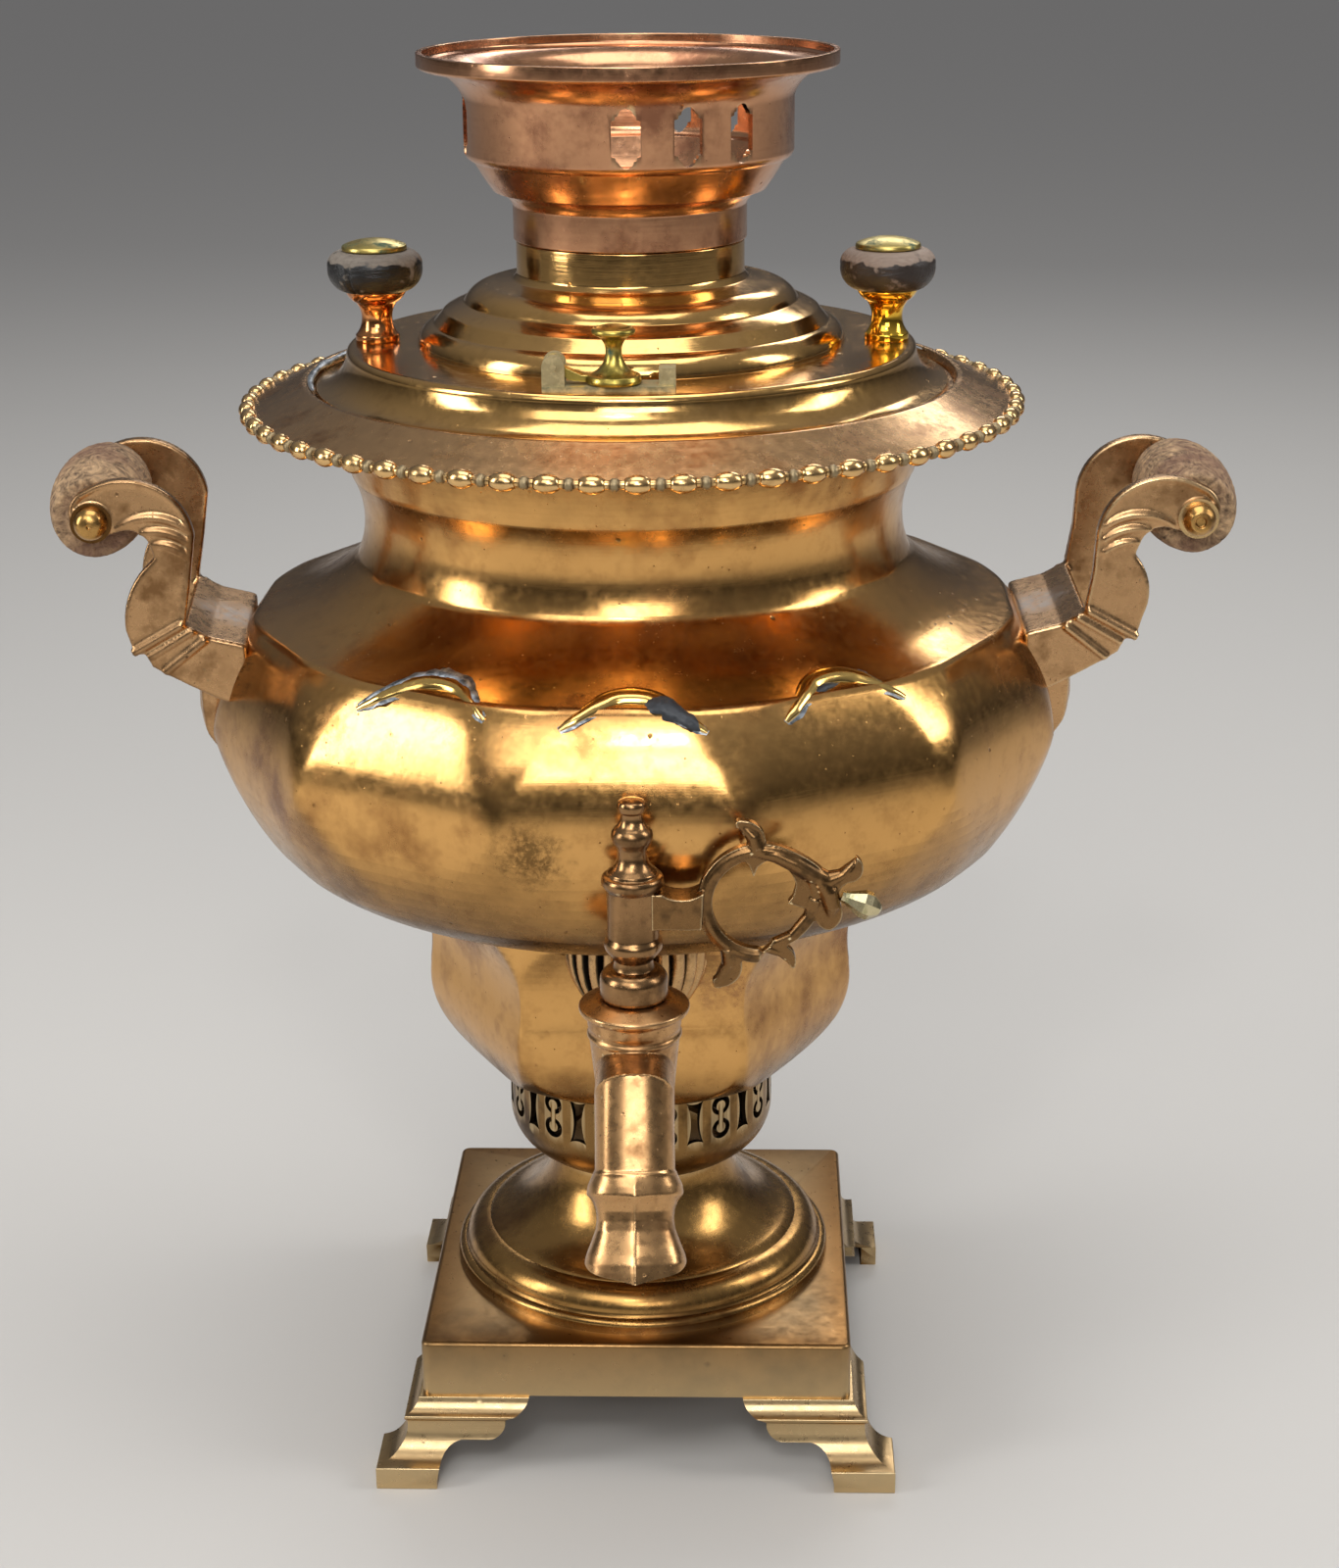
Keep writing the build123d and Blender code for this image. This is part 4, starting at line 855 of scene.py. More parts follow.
bead_level, bead_radius = collar_level + 1.8, collar_radius + 0.8
bead_line = drawn((1.8, -4.0), ((3.1, 0), (1.8, 4.0)), turn=10)
reel_line = [(1.6, -1.3), (2.1, -0.7), (2.1, 0.7), (1.6, 1.3)]
vertices, faces = [], []
bead_sides = 18


def strew(points, turn):
    """Adds one small turned bead, lying along the collar's edge, to the lists."""
    first = len(vertices)
    for radius, along in points:
        for i in range(bead_sides):
            t = math.tau * i / bead_sides
            spot = Vector((bead_radius + radius * math.cos(t), along,
                           bead_level + radius * math.sin(t)))
            vertices.append(turned_by(turn) @ spot)
    for r in range(len(points) - 1):
        for i in range(bead_sides):
            j = (i + 1) % bead_sides
            a, b = first + r * bead_sides, first + (r + 1) * bead_sides
            faces.append((a + i, a + j, b + j, b + i))
    for ring in (first, len(vertices) - bead_sides):
        faces.append(tuple(range(ring, ring + bead_sides)))


for number in range(bead_count):
    strew(bead_line, (number + 0.5) * 360 / bead_count)
    strew(reel_line, number * 360 / bead_count)
beads = made("collar_beads", vertices, faces, 70)
wire_radius, wire_sides = 1.5, 16
wire = spun("collar_wire", [
    (collar_radius + 0.5 + wire_radius * math.cos(math.tau * i / wire_sides),
     bead_level + wire_radius * math.sin(math.tau * i / wire_sides))
    for i in range(wire_sides)], 360)
fit(beads, "samovar", "polished_brass", bead_brass)
fit(wire, "samovar", "polished_brass", bead_brass)


# ---- Fire tube and grate ----------------------------------------------------------
# A thick iron tube up the middle of the water, with a cast grate at its foot. Years of
# charcoal have left both dull black, with a little rust.

# Sooted iron: lumpy and almost black, with no shine, and brown where rust comes through.
tube_iron = lumpy("sooted_iron", "#1C1917", "#4A3122", 14.0, 0.5, 0.75, 0.5, 0.3, 0.75,
                  detail=6.0, grit=0.7)
dress(tube_iron, "grate")
tube_radius, tube_wall, tube_top = 37.3, 2.5, 446.0
chamber = 43.0
tube = spun("fire_tube_iron", outline(
    (chamber, vessel_low - 4), (chamber, waist - 20), (tube_radius, neck_level),
    (tube_radius, tube_top), (tube_radius - tube_wall, tube_top),
    (tube_radius - tube_wall, neck_level), (chamber - tube_wall, waist - 20),
    (chamber - tube_wall, vessel_low), (chamber - 6.0, vessel_low),
    (chamber - 6.0, vessel_low - 4), ease=0.4), 128)
fit(tube, "samovar", "sooty_iron", tube_iron, "fire_tube")


# ---- Lid ------------------------------------------------------------------------
# A lid spun in steps like a pagoda roof, with a neck that slides over the fire tube. It
# was polished while it turned, so its light runs in rings.

# Ring-polished brass: glossy and yellow, with fine rings that draw its light out sideways.
lid_brass = brass("ring_polished_brass", "#E0B06B", "#A67A40", 0.13, 48, 0.4, pits=0.10,
                  pit_size=6, wobble=0.10, streak=0.7, edge=0.3, dirt_and_crevice_shade="#7A4A22")
lid_rim, lid_top = 109.3, 437.0
shelf = lid_seat + 14.5
tube_gap = 0.35
lid_bore = tube_radius + tube_gap
neck = lid_bore + 1.4
lid_line = drawn(
    (lid_rim, lid_seat), (lid_rim, lid_seat + 1.8),
    ((lid_rim - 7.0, lid_seat + 4.6), (lid_rim - 11.0, shelf - 2.5)),
    ((lid_rim - 11.8, shelf - 0.6), (lid_rim - 13.5, shelf)), (neck + 34.6, shelf),
    ((neck + 33.4, shelf + 4.4), (neck + 29.0, shelf + 7.4)), (neck + 25.4, shelf + 11.6),
    ((neck + 21.8, shelf + 13.4), (neck + 18.4, shelf + 14.6)),
    ((neck + 15.4, shelf + 18.4), (neck + 9.0, shelf + 20.6)), (neck + 1.5, shelf + 22.0),
    (neck, shelf + 24.0), (neck, lid_top), turn=4)
lid_under = [
    (lid_bore, lid_top), (lid_bore, shelf + 20.0), (lid_bore + 9.0, shelf + 17.6),
    (lid_bore + 19.5, shelf + 11.0), (lid_bore + 28.0, shelf + 4.6),
    (lid_bore + 35.0, shelf - sheet), (lid_rim - 15.2, shelf - sheet),
    (lid_rim - 13.2, shelf - 4.0), (lid_rim - 8.8, lid_seat + 3.0), (lid_rim - sheet, lid_seat)]
lid = spun("stepped_lid", outline(*lid_line, *lid_under, ease=0.5), 224)
fit(lid, "lid", "polished_brass", lid_brass, "lid")

# A bead of solder, left bare and grey, closes the lid's seat over its left quarter.

steps, upward = 60, Vector((0, 0, 1))
for name, start, end, thick in (("left", 142, 196, 1.5), ("rear_right", 22, 38, 0.9)):
    rings = []
    for k in range(steps + 1):
        t = math.radians(start + (end - start) * k / steps)
        out = Vector((math.cos(t), math.sin(t), 0))
        fat = thick * (0.25 + 0.75 * math.sin(math.pi * k / steps) ** 0.5)
        fat *= 0.8 + 0.5 * noise.noise(out * 9)
        heart = out * (lid_rim + 1.7) + upward * (lid_seat + 3.0)
        rings.append([heart + out * fat * 1.25 * math.cos(a) + upward * fat * 0.8 * math.sin(a)
                      for a in (math.tau * i / 12 for i in range(12))])
    bead = skinned(f"seat_solder_{name}", rings, 60, capped=True)
    fit(bead, "samovar", "polished_brass", solder)


# ---- Lid knobs --------------------------------------------------------------------
# Two lifting knobs: a spun brass stem, a turned hardwood ring with worn black paint and
# a brass cap that holds it down. The left wood has split, and its stem is coppery.

knob_set = 88.0
stem_height, wood_height, cap_height, wood_radius = 17.5, 13.5, 4.0, 16.3
# Coppery and yellow spun brass: two odd stems, one orange, one like gold, both glossy.
copper_stem = brass("coppery_spun_brass", "#D48E56", "#8C5024", 0.12, 14, 0.35, pits=0.08,
                    pit_size=4, edge=0.3)
yellow_stem = brass("yellow_spun_brass", "#EFBE45", "#A87A22", 0.09, 16, 0.25, pits=0.04,
                    pit_size=4, edge=0.3)
# Verdigris brass: a greenish yellow with a grey-green crust over half of it.
cap_brass = brass("verdigris_brass", "#C2AC62", "#7A7440", 0.30, 9, 0.5, pits=0.1, pit_size=4,
                  edge=0.35, green=0.45, dirt_and_crevice_shade="#2F3B1E")
rub_low, rub_high = 4.6, 2.6        # mm below the wood's top, where hands have rubbed it bare


def knob_wood(name, paint, bare, worn):
    """Painted beech: satin paint on the side, dull bare grain where it is rubbed or chipped."""
    material, tree = blank(name)
    here = add(tree, "ShaderNodeTexCoord").outputs["Object"]
    grain = add(tree, "ShaderNodeMapping", {"Vector": here, "Scale": (140.0, 900.0, 900.0)})
    fibre = add(tree, "ShaderNodeTexNoise", {
        "Vector": grain, "Scale": 1.0, "Detail": 5.0, "Roughness": 0.65})
    wood = add(tree, "ShaderNodeMix", {
        0: fibre, 6: linear(bare), 7: linear(worn)}, data_type="RGBA")
    level = add(tree, "ShaderNodeSeparateXYZ", {0: here})
    top = (shelf + stem_height + wood_height) * MM
    rub = add(tree, "ShaderNodeMapRange", {
        "Value": level.outputs["Z"], "From Min": top - rub_low * MM,
        "From Max": top - rub_high * MM})
    patch = add(tree, "ShaderNodeTexNoise", {"Vector": here, "Scale": 1000 / 6.0, "Detail": 6.0})
    chips = add(tree, "ShaderNodeMath", {0: rub, 1: 0.30, 2: patch}, operation="MULTIPLY_ADD")
    shown = add(tree, "ShaderNodeMapRange", {"Value": chips, "From Min": 0.60, "From Max": 0.68})
    tone = add(tree, "ShaderNodeMix", {0: shown, 6: linear(paint), 7: wood}, data_type="RGBA")
    gloss = add(tree, "ShaderNodeMapRange", {"Value": shown, "To Min": 0.32, "To Max": 0.72})
    relief = add(tree, "ShaderNodeBump", {"Height": fibre, "Distance": 0.35 * MM})
    skin = add(tree, "ShaderNodeBsdfPrincipled", {
        "Base Color": tone, "Roughness": gloss, "Normal": relief})
    add(tree, "ShaderNodeOutputMaterial", {"Surface": skin})
    return material


# Black and worn beech: two ages of the same dark paint, the right one gone brown.
black_wood = knob_wood("black_painted_beech", "#0E0C0B", "#8F8578", "#4A4038")
grey_wood = knob_wood("worn_painted_beech", "#2A211C", "#A39385", "#6B5546")
split_turn, split_depth = math.radians(-118), 0.9       # where the left wood opened, and mm in
low, high = stem_height, stem_height + wood_height
for side, name, metal, timber in (
    (-1, "left", copper_stem, black_wood), (1, "right", yellow_stem, grey_wood),
):
    place = Matrix.Translation((side * knob_set, 0, shelf))
    stem = spun(f"knob_stem_{name}", outline(
        (0, 0), (7.6, 0), (7.6, 2.2), (6.9, 3.0), ((5.3, 8.4), (7.2, 13.4)),
        ((9.4, 15.2), (10.6, low)), (2.6, low), (2.6, high), (0, high), ease=0.35), 72, place)
    fit(stem, "lid", "polished_brass", metal, f"{name}_knob_stem")
    wood = spun(f"knob_wood_{name}", drawn(
        (2.7, low), (11.6, low), ((wood_radius - 0.6, low + 4.0), (wood_radius, low + 8.0)),
        ((wood_radius - 1.2, high - 1.6), (11.2, high)), (2.7, high)), 120, place, 50)
    if name == "left":
        for vertex in wood.data.vertices:
            across = vertex.co.x + knob_set * MM
            away = math.atan2(vertex.co.y, across) - split_turn
            if abs(away) < 0.03 and math.hypot(across, vertex.co.y) > 9 * MM:
                vertex.co.x -= split_depth * MM * math.cos(split_turn)
                vertex.co.y -= split_depth * MM * math.sin(split_turn)
    fit(wood, "lid", "knob_wood", timber, f"{name}_knob_wood")
    cap = spun(f"knob_cap_{name}", outline(
        (0, high), (10.6, high), (11.3, high + 0.5), (11.0, high + 1.8),
        ((5.6, high + 3.5), (0, high + cap_height)), ease=0.4), 72, place)
    fit(cap, "lid", "polished_brass", cap_brass, f"{name}_knob_cap")


# ---- Steam vent -------------------------------------------------------------------
# A hinged brass cap over the steam hole, cast with its little turned knob. The base it
# swings on is soldered to the lid's front and has gone green with damp.

# Greened cast brass: a dull olive yellow, its edges lightened, partly rubbed bright and partly
# painted highlight.
vent_brass = brass("greened_cast_brass", "#BCA553", "#6F6530", 0.28, 10, 0.5, pits=0.15,
                   pit_size=3, edge=0.6, green=0.2, dirt_and_crevice_shade="#2B2A16")
# Verdigris cast brass: matt grey-green, with the metal left only in spots.
vent_green = brass("verdigris_cast_brass", "#8C8A66", "#4F5A46", 0.42, 8, 0.5, pits=0.3,
                   pit_size=3, edge=0.5, green=0.85, dirt_and_crevice_shade="#1F2620")
vent_x, vent_y = -3.5, -86.0
vent_place = Matrix.Translation((vent_x, vent_y, shelf))
dress(vent_green, "vent_base", "vent_pin")
cap_x, cap_low, pin_x, pin_z = 1.5, 1.9, -17.5, 7.6
knob_line = outline(
    (0, cap_low), (8.6, cap_low), (9.0, cap_low + 1.0), (8.4, cap_low + 2.6),
    ((4.4, 7.0), (2.6, 11.6)), ((3.4, 15.0), (6.6, 17.4)), ((6.9, 18.6), (5.6, 19.4)),
    ((2.9, 20.2), (0, 20.4)), ease=0.3)
knob = spun("vent_knob", knob_line, 72, vent_place @ Matrix.Translation((cap_x, 0, 0)))
strap = drawn(
    (pin_x, pin_z + 3.0), (pin_x + 4, 6.9), (pin_x + 9, 4.6), (cap_x - 4, 4.9),
    (cap_x - 4, cap_low), (pin_x + 5, cap_low + 1.0), (pin_x + 2.2, pin_z - 2.6),
    ((pin_x - 3.1, pin_z), (pin_x, pin_z + 3.0)), turn=12)[:-1]
arm = prism("vent_arm", strap, -2.0, 2.0, vent_place)


def joined(name, *pieces):
    """One object from the meshes of several."""
    work = bmesh.new()
    for piece in pieces:
        work.from_mesh(piece.data)
        bpy.data.objects.remove(piece)
    mesh = bpy.data.meshes.new(name)
    work.to_mesh(mesh)
    work.free()
    whole = bpy.data.objects.new(name, mesh)
    scene.collection.objects.link(whole)
    return whole


def cast(piece, grain_mm, passes):
    """Melts overlapping shells into one skin with softly filled corners, as casting does."""
    melt = piece.modifiers.new("melt", "REMESH")
    melt.mode, melt.voxel_size = "VOXEL", grain_mm * MM
    ease = piece.modifiers.new("ease", "SMOOTH")
    ease.factor, ease.iterations = 0.5, passes
    applied(piece)
    return shaded(piece, 180)


vent = cast(joined("vent_cap_casting", knob, arm), 0.22, 3)
lying = Matrix.Rotation(math.pi / 2, 4, "X")
pin_bore = 1.25
cut(vent, spun("pin_bore", [(0, -9), (pin_bore, -9), (pin_bore, 9), (0, 9)], 32,
               vent_place @ Matrix.Translation((pin_x, 0, pin_z)) @ lying))
shaded(vent, 60)
fit(vent, "vent_cap", "cast_brass", vent_brass, "vent_cap")


# ---- Crown ------------------------------------------------------------------------
# The ring a teapot stands in: thin brass spun over the tube's end, with three groups of
# sawn windows for the smoke. Heat has turned it pink, and painted shade darkens the coves.

# Heat-tinted brass: pink over satin, with painted shade in the coves and rings from the lathe.
crown_brass = brass("heat_tinted_brass", "#C9956F", "#91634A", 0.19, 34, 0.5, pits=0.08,
                    pit_size=5, wobble=0.15, streak=0.55, edge=0.5, dirt_and_crevice_shade="#5C3826")
crown_foot, crown_top = 437.4, 499.4
socket = lid_bore + 2.2


def crown_line(t):
    """The crown's line from its lip down to the foot of its socket, pulled in by a wall t."""
    lip, band, ring, rise = 70.9 - t, 55.8 - t, socket - t, 0.8 * t
    top, foot = crown_top, crown_foot
    return drawn(
        (lip, top), (lip, top - 4.5 + rise), (lip - 1.2, top - 5.4 + rise),
        ((band + 4.0, top - 8.8 + rise), (band + 0.6, top - 13.2)), (band, top - 15.0),
        (band, foot + 29.5 + rise),
        ((band - 1.0, foot + 27.5 + rise), (band - 3.0, foot + 26.4 + rise)),
        ((band - 6.2, foot + 21.0 + rise), (ring + 6.5, foot + 16.4 + rise)),
        ((ring + 2.0, foot + 14.4 + rise), (ring, foot + 11.6)), (ring, foot))


inner = crown_line(sheet)
ledge_in, ledge_top = 34.8, tube_top + 1.6
ledge = [(inner[-1][0], tube_top), (ledge_in, tube_top), (ledge_in, ledge_top),
         (inner[-2][0], ledge_top)]
above_ledge = [p for p in inner[-2::-1] if p[1] > ledge_top + 0.1]
crown = spun("teapot_crown", outline(*crown_line(0), inner[-1], *ledge, *above_ledge, ease=0.35),
             216)
window_level, half_tall, half_wide = crown_foot + 38.5, 9.5, 4.75
nib = arc((2.5, half_tall - 2.4), (0, half_tall), (-2.5, half_tall - 2.4), 20)
window = []
for flip in (1, -1):
    side = [(half_wide, -(half_tall - 4.0)), (half_wide, half_tall - 4.0), (3.5, half_tall - 3.6),
            (3.3, half_tall - 2.6), *nib, (-3.3, half_tall - 2.6), (-3.5, half_tall - 3.6)]
    window += [(flip * x, flip * z) for x, z in side]
for group in range(3):
    for number in (-1, 0, 1):
        place = turned_by(22.4 + 120 * group + 21.0 * number)
        place @= Matrix.Translation((0, 0, window_level))
        cut(crown, prism("window", window, -62, -48, place))
shaded(crown, 35)
fit(crown, "crown", "crown_brass", crown_brass, "crown")


# ---- Handles ----------------------------------------------------------------------
# Cast brass brackets soldered to the belly: two scrolled ears joined by a saddle above
# and a leaf below. A hardwood grip turns on a rod between the ears, held by domed nuts.

# Pitted cast brass: pinkish brown, its ridges lightened, partly worn pale and partly painted
# highlight, with painted shade in its hollows and grey solder at its roots.
handle_brass = brass(
    "pitted_cast_brass", "#C0976B", "#8A6642", 0.25, 20, 0.45, pits=0.45, pit_size=5, wobble=0.1,
    edge=0.9, dirt_and_crevice_shade="#3A2A1E", green=0.05, stains=(
        (141, 0, 307, 20, "#9A9C9E", 0.7), (-140, -16, 309, 20, "#9A9C9E", 0.7)))
# Turned brass: the nuts' plain gold, handled until it is smooth.
nut_brass = brass("turned_brass", "#BF9456", "#7E5C34", 0.24, 9, 0.45, pits=0.15, pit_size=3,
                  edge=0.4)
ear_span, ear_thick = 68.0, 4.5
grip_radius, grip_end, rod_radius = 17.0, 13.5, 3.0

# Weathered hardwood: open grain, tan on its crests and dark in its cracks, with plum stains.
raw_wood, tree = blank("raw_weathered_hardwood")
here = add(tree, "ShaderNodeTexCoord").outputs["Object"]
warp = add(tree, "ShaderNodeTexNoise", {"Vector": here, "Scale": 1000 / 16.0, "Detail": 2.0})
drift = add(tree, "ShaderNodeVectorMath", {
    0: warp.outputs["Color"], 1: (0.012, 0.012, 0.012)}, operation="MULTIPLY")
bent = add(tree, "ShaderNodeVectorMath", {0: here, 1: drift}, operation="ADD")
along = add(tree, "ShaderNodeMapping", {"Vector": bent, "Scale": (900.0, 120.0, 900.0)})
fibre = add(tree, "ShaderNodeTexNoise", {
    "Vector": along, "Scale": 0.9, "Detail": 6.0, "Roughness": 0.7})
cross = add(tree, "ShaderNodeTexVoronoi", {
    "Vector": bent, "Scale": 1000 / 2.4}, feature="SMOOTH_F1")
weave = add(tree, "ShaderNodeMath", {0: cross, 1: 0.5, 2: fibre}, operation="MULTIPLY_ADD")
ramp = add(tree, "ShaderNodeMapRange", {"Value": weave, "From Min": 0.45, "From Max": 0.95})
tone = add(tree, "ShaderNodeMix", {
    0: ramp, 6: linear("#4A3220"), 7: linear("#DDB689")}, data_type="RGBA")
patch = add(tree, "ShaderNodeTexNoise", {"Vector": here, "Scale": 1000 / 22.0, "Detail": 4.0})
plum = add(tree, "ShaderNodeMapRange", {
    "Value": patch, "From Min": 0.48, "From Max": 0.66, "To Max": 0.7})
tone = add(tree, "ShaderNodeMix", {0: plum, 6: tone, 7: linear("#7A5240")}, data_type="RGBA")
relief = add(tree, "ShaderNodeBump", {"Height": weave, "Distance": 2.0 * MM})
skin = add(tree, "ShaderNodeBsdfPrincipled", {
    "Base Color": tone, "Roughness": 0.78, "Normal": relief})
add(tree, "ShaderNodeOutputMaterial", {"Surface": skin})


def tube_run(name, path, radii, sides=16, flat=1.0):
    """A bar along points, with a radius at each; flat is its width along Y over its height."""
    rings = []
    for k, spot in enumerate(path):
        step = (path[min(k + 1, len(path) - 1)] - path[max(k - 1, 0)]).normalized()
        normal = step.cross(Vector((0, 1, 0))).normalized()
        across = normal.cross(step).normalized()
        rings.append([
            spot + normal * radii[k] * math.cos(t) + across * radii[k] * flat * math.sin(t)
            for t in (math.tau * i / sides for i in range(sides))])
    return skinned(name, rings, 60, capped=True)


rib_root = 0.15             # how far along its taper a rib starts
leaf_half, leaf_rows, leaf_sides = 15.6, 22, 28
dome_nut = outline((0, 0), (5.4, 0), (5.6, 1.2), ((5.0, 3.6), (2.6, 5.6)), (0.8, 6.0), (0.8, 4.6),
                   (0, 4.6), ease=0.3)
slotted_nut = outline((0, 0), (5.3, 0), (5.5, 1.6), ((5.3, 3.4), (4.6, 4.6)), (3.4, 6.0),
                      (1.9, 6.0), (1.7, 5.0), (0, 5.0), ease=0.35)
washer = [(4.2, -0.4), (6.9, -0.4), (6.9, 0.5), (4.2, 0.5)]


def handle(side, back, lift, place, nut_line):
    """One handle, laid out for the right side and then set in place.

    Its curl is bent back towards the urn, and lifted, by so many mm.
    """
    outer = ear_span / 2
    face = outer + 1.5

    def at(out, rise):
        """A point of the ear, out from the belly and up from its widest level."""
        share = min(max((rise - 44.0) / 20.0, 0.0), 1.0)
        return (belly_radius + out - back * share, belly_level + rise + lift * share)

    def spot_at(point, y):
        return Vector((point[0], y, point[1]))

    rim_start = at(4.4, 43.0)
    ear = drawn(
        at(-14.8, 35.5), at(-3.6, 38.4), rim_start, (at(6.4, 56.0), at(7.2, 70.2)),
        (at(12.2, 81.8), at(20.5, 88.0)), (at(33.0, 90.0), at(42.6, 86.8)),
        (at(48.4, 77.0), at(41.4, 69.6)), at(33.0, 71.8), (at(27.6, 72.2), at(22.6, 68.0)),
        at(20.6, 63.0), at(21.8, 61.4), (at(26.0, 51.0), at(24.4, 41.6)), at(22.0, 33.2),
        at(18.2, 33.0), at(16.2, 28.4), at(11.0, 25.2), at(3.2, 20.8), at(-6.8, 15.4),
        at(-14.8, 13.0), turn=6)
    saddle = [at(-14.8, 35.5), at(-3.6, 38.4), rim_start, at(6.4, 40.0), at(-2.6, 34.0),
              at(-14.8, 31.0)]
    root = [at(-16, 35.0), at(-4, 35.5), at(3, 30.0), at(3.2, 21.0), at(-6.8, 15.6), at(-16, 13.2)]
    parts = [
        prism("ear", ear, -outer, -outer + ear_thick), prism("ear", ear, outer - ear_thick, outer),
        prism("saddle", saddle, -outer, outer), prism("root", root, -outer, outer)]

    first = ear.index(rim_start)
    heart = spot_at(at(36, 76), 0)
    for sign in (-1, 1):
        face_y = sign * outer
        rim = []
        for point in ear[first:first + 44]:
            spot = spot_at(point, 0)
            spot = spot.lerp(heart, 0.9 / max((spot - heart).length, 1))
            rim.append(spot + Vector((0, face_y - sign * 0.2, 0)))
        parts.append(tube_run("rim", rim, [0.95] * len(rim), 10))
        for start, middle, end, thick in (
            (at(9.4, 72.2), at(20, 76.8), at(33.0, 73.0), 1.35),
            (at(9.6, 67.6), at(17, 71.6), at(25.6, 71.2), 1.35),
            (at(9.8, 63.2), at(15, 66.6), at(21.6, 67.2), 1.25),
        ):
            rib = [spot_at(point, face_y) for point in drawn(start, (middle, end), turn=8)]
            last = len(rib) - 1
            shares = [min(rib_root + (1 - rib_root) * i / last, 1) for i in range(last + 1)]
            radii = [thick * (0.35 + 0.65 * math.sin(math.pi * share)) for share in shares]
            parts.append(tube_run("rib", rib, radii, 12))
        for start, end, thick in (
            (at(5.0, 43.4), at(22.6, 33.6), 1.5), (at(1.4, 41.0), at(17.4, 31.6), 1.1),
            (at(-2.4, 37.8), at(12.4, 26.2), 1.25),
        ):
            a, b = spot_at(start, face_y), spot_at(end, face_y)
            parts.append(tube_run("band", [a.lerp(b, i / 8) for i in range(9)], [thick] * 9, 12))

    boss_x, boss_z = at(41.0, 76.0)
    axis = Matrix.Translation((boss_x, 0, boss_z)) @ lying
    for low, high in ((-face, -outer + ear_thick), (outer - ear_thick, face)):
        parts.append(spun("boss", [(0, low), (6.3, low), (6.3, high), (0, high)], 40, axis))

    leaf_rings = []
    for k in range(leaf_rows + 1):
        u = k / leaf_rows
        level = 22.0 - 37.3 * u
        half = leaf_half * (1 - u ** 2.6) ** 0.55 + 0.15
        swell = 7.6 - 5.2 * u ** 1.6
        ring = []
        for i in range(leaf_sides):
            t = math.tau * i / leaf_sides
            y = half * math.cos(t)
            ridge = 0.8 * abs(math.cos(math.pi * (y / leaf_half * 1.5 + 0.9 * u)))
            outside = swell - 1.3 * (y / leaf_half) ** 2 - ridge * 1.1
            depth = outside if math.sin(t) > 0.05 else -9.0
            ring.append(Vector((belly_radius - 2.4 + depth - 0.010 * (level - 4) ** 2, y,
                                belly_level + level)))
        leaf_rings.append(ring)
    parts.append(skinned("leaf", leaf_rings, 60, capped=True))
    bracket = cast(joined(f"handle_bracket_{side}", *parts), 0.62, 5)
    bracket.data.transform(place)
    cut(bracket, vase_core(250, 325))
    shaded(bracket, 180)

    grip_half = outer - ear_thick - 0.1
    grip_line = drawn(
        (rod_radius + 0.3, -grip_half), (grip_end, -grip_half),
        ((grip_radius, 0), (grip_end, grip_half)), (rod_radius + 0.3, grip_half), turn=1.2)
    grip = spun(f"handle_grip_{side}", outline(*grip_line, ease=1.2), 120, axis)
    for vertex in grip.data.vertices:
        spot = vertex.co / MM
        radial = Vector((spot.x - boss_x, 0, spot.z - boss_z))
        if radial.length > 8:
            cracks = abs(noise.noise(Vector((spot.x, spot.y * 0.25, spot.z)) * 0.9))
            hollows = abs(noise.noise(spot * 0.3))
            vertex.co -= radial.normalized() * (0.35 * cracks + 0.25 * hollows) * MM
    rod = spun(f"handle_rod_{side}", outline(
        (0, -face - 3), (rod_radius, -face - 3), (rod_radius, face + 3), (0, face + 3)), 32, axis)
    nuts = []
    for sign in (-1, 1):
        nut_place = Matrix.Translation((boss_x, sign * face, boss_z))
        nut_place @= Matrix.Rotation(-sign * math.pi / 2, 4, "X")
        nuts += [spun("nut", nut_line, 48, nut_place), spun("washer", washer, 48, nut_place)]
    nut = shaded(joined(f"handle_nuts_{side}", *nuts), 40)
    for piece in (grip, rod, nut):
        piece.data.transform(place)
    fit(bracket, "samovar", "cast_brass", handle_brass, f"{side}_handle_bracket")
    fit(grip, "samovar", "raw_wood", raw_wood, f"{side}_handle_grip")
    fit(rod, "samovar", "cast_brass", nut_brass, f"{side}_handle_rod")
    fit(nut, "samovar", "cast_brass", nut_brass, f"{side}_handle_nuts")


mirrored = Matrix.Scale(-1, 4, (1, 0, 0))
handle("right", 0.0, 0.0, Matrix.Identity(4), slotted_nut)
handle("left", 8.0, 4.0, turned_by(6.5) @ mirrored, dome_nut)


# ---- Tap --------------------------------------------------------------------------
# Cast and filed bronze: a half cup of gadroons soldered on the bowl, a tube through it,
# an upright housing with the spout in front, and a tapered plug turned by its key.

tap_yaw = 1.8               # degrees; the tap was soldered on a little off square
seat_off = 68.0
seat_turn = math.radians(tap_yaw)
seat_middle = (seat_off * math.sin(seat_turn), -seat_off * math.cos(seat_turn))
petals, petal_steps = 24, 10
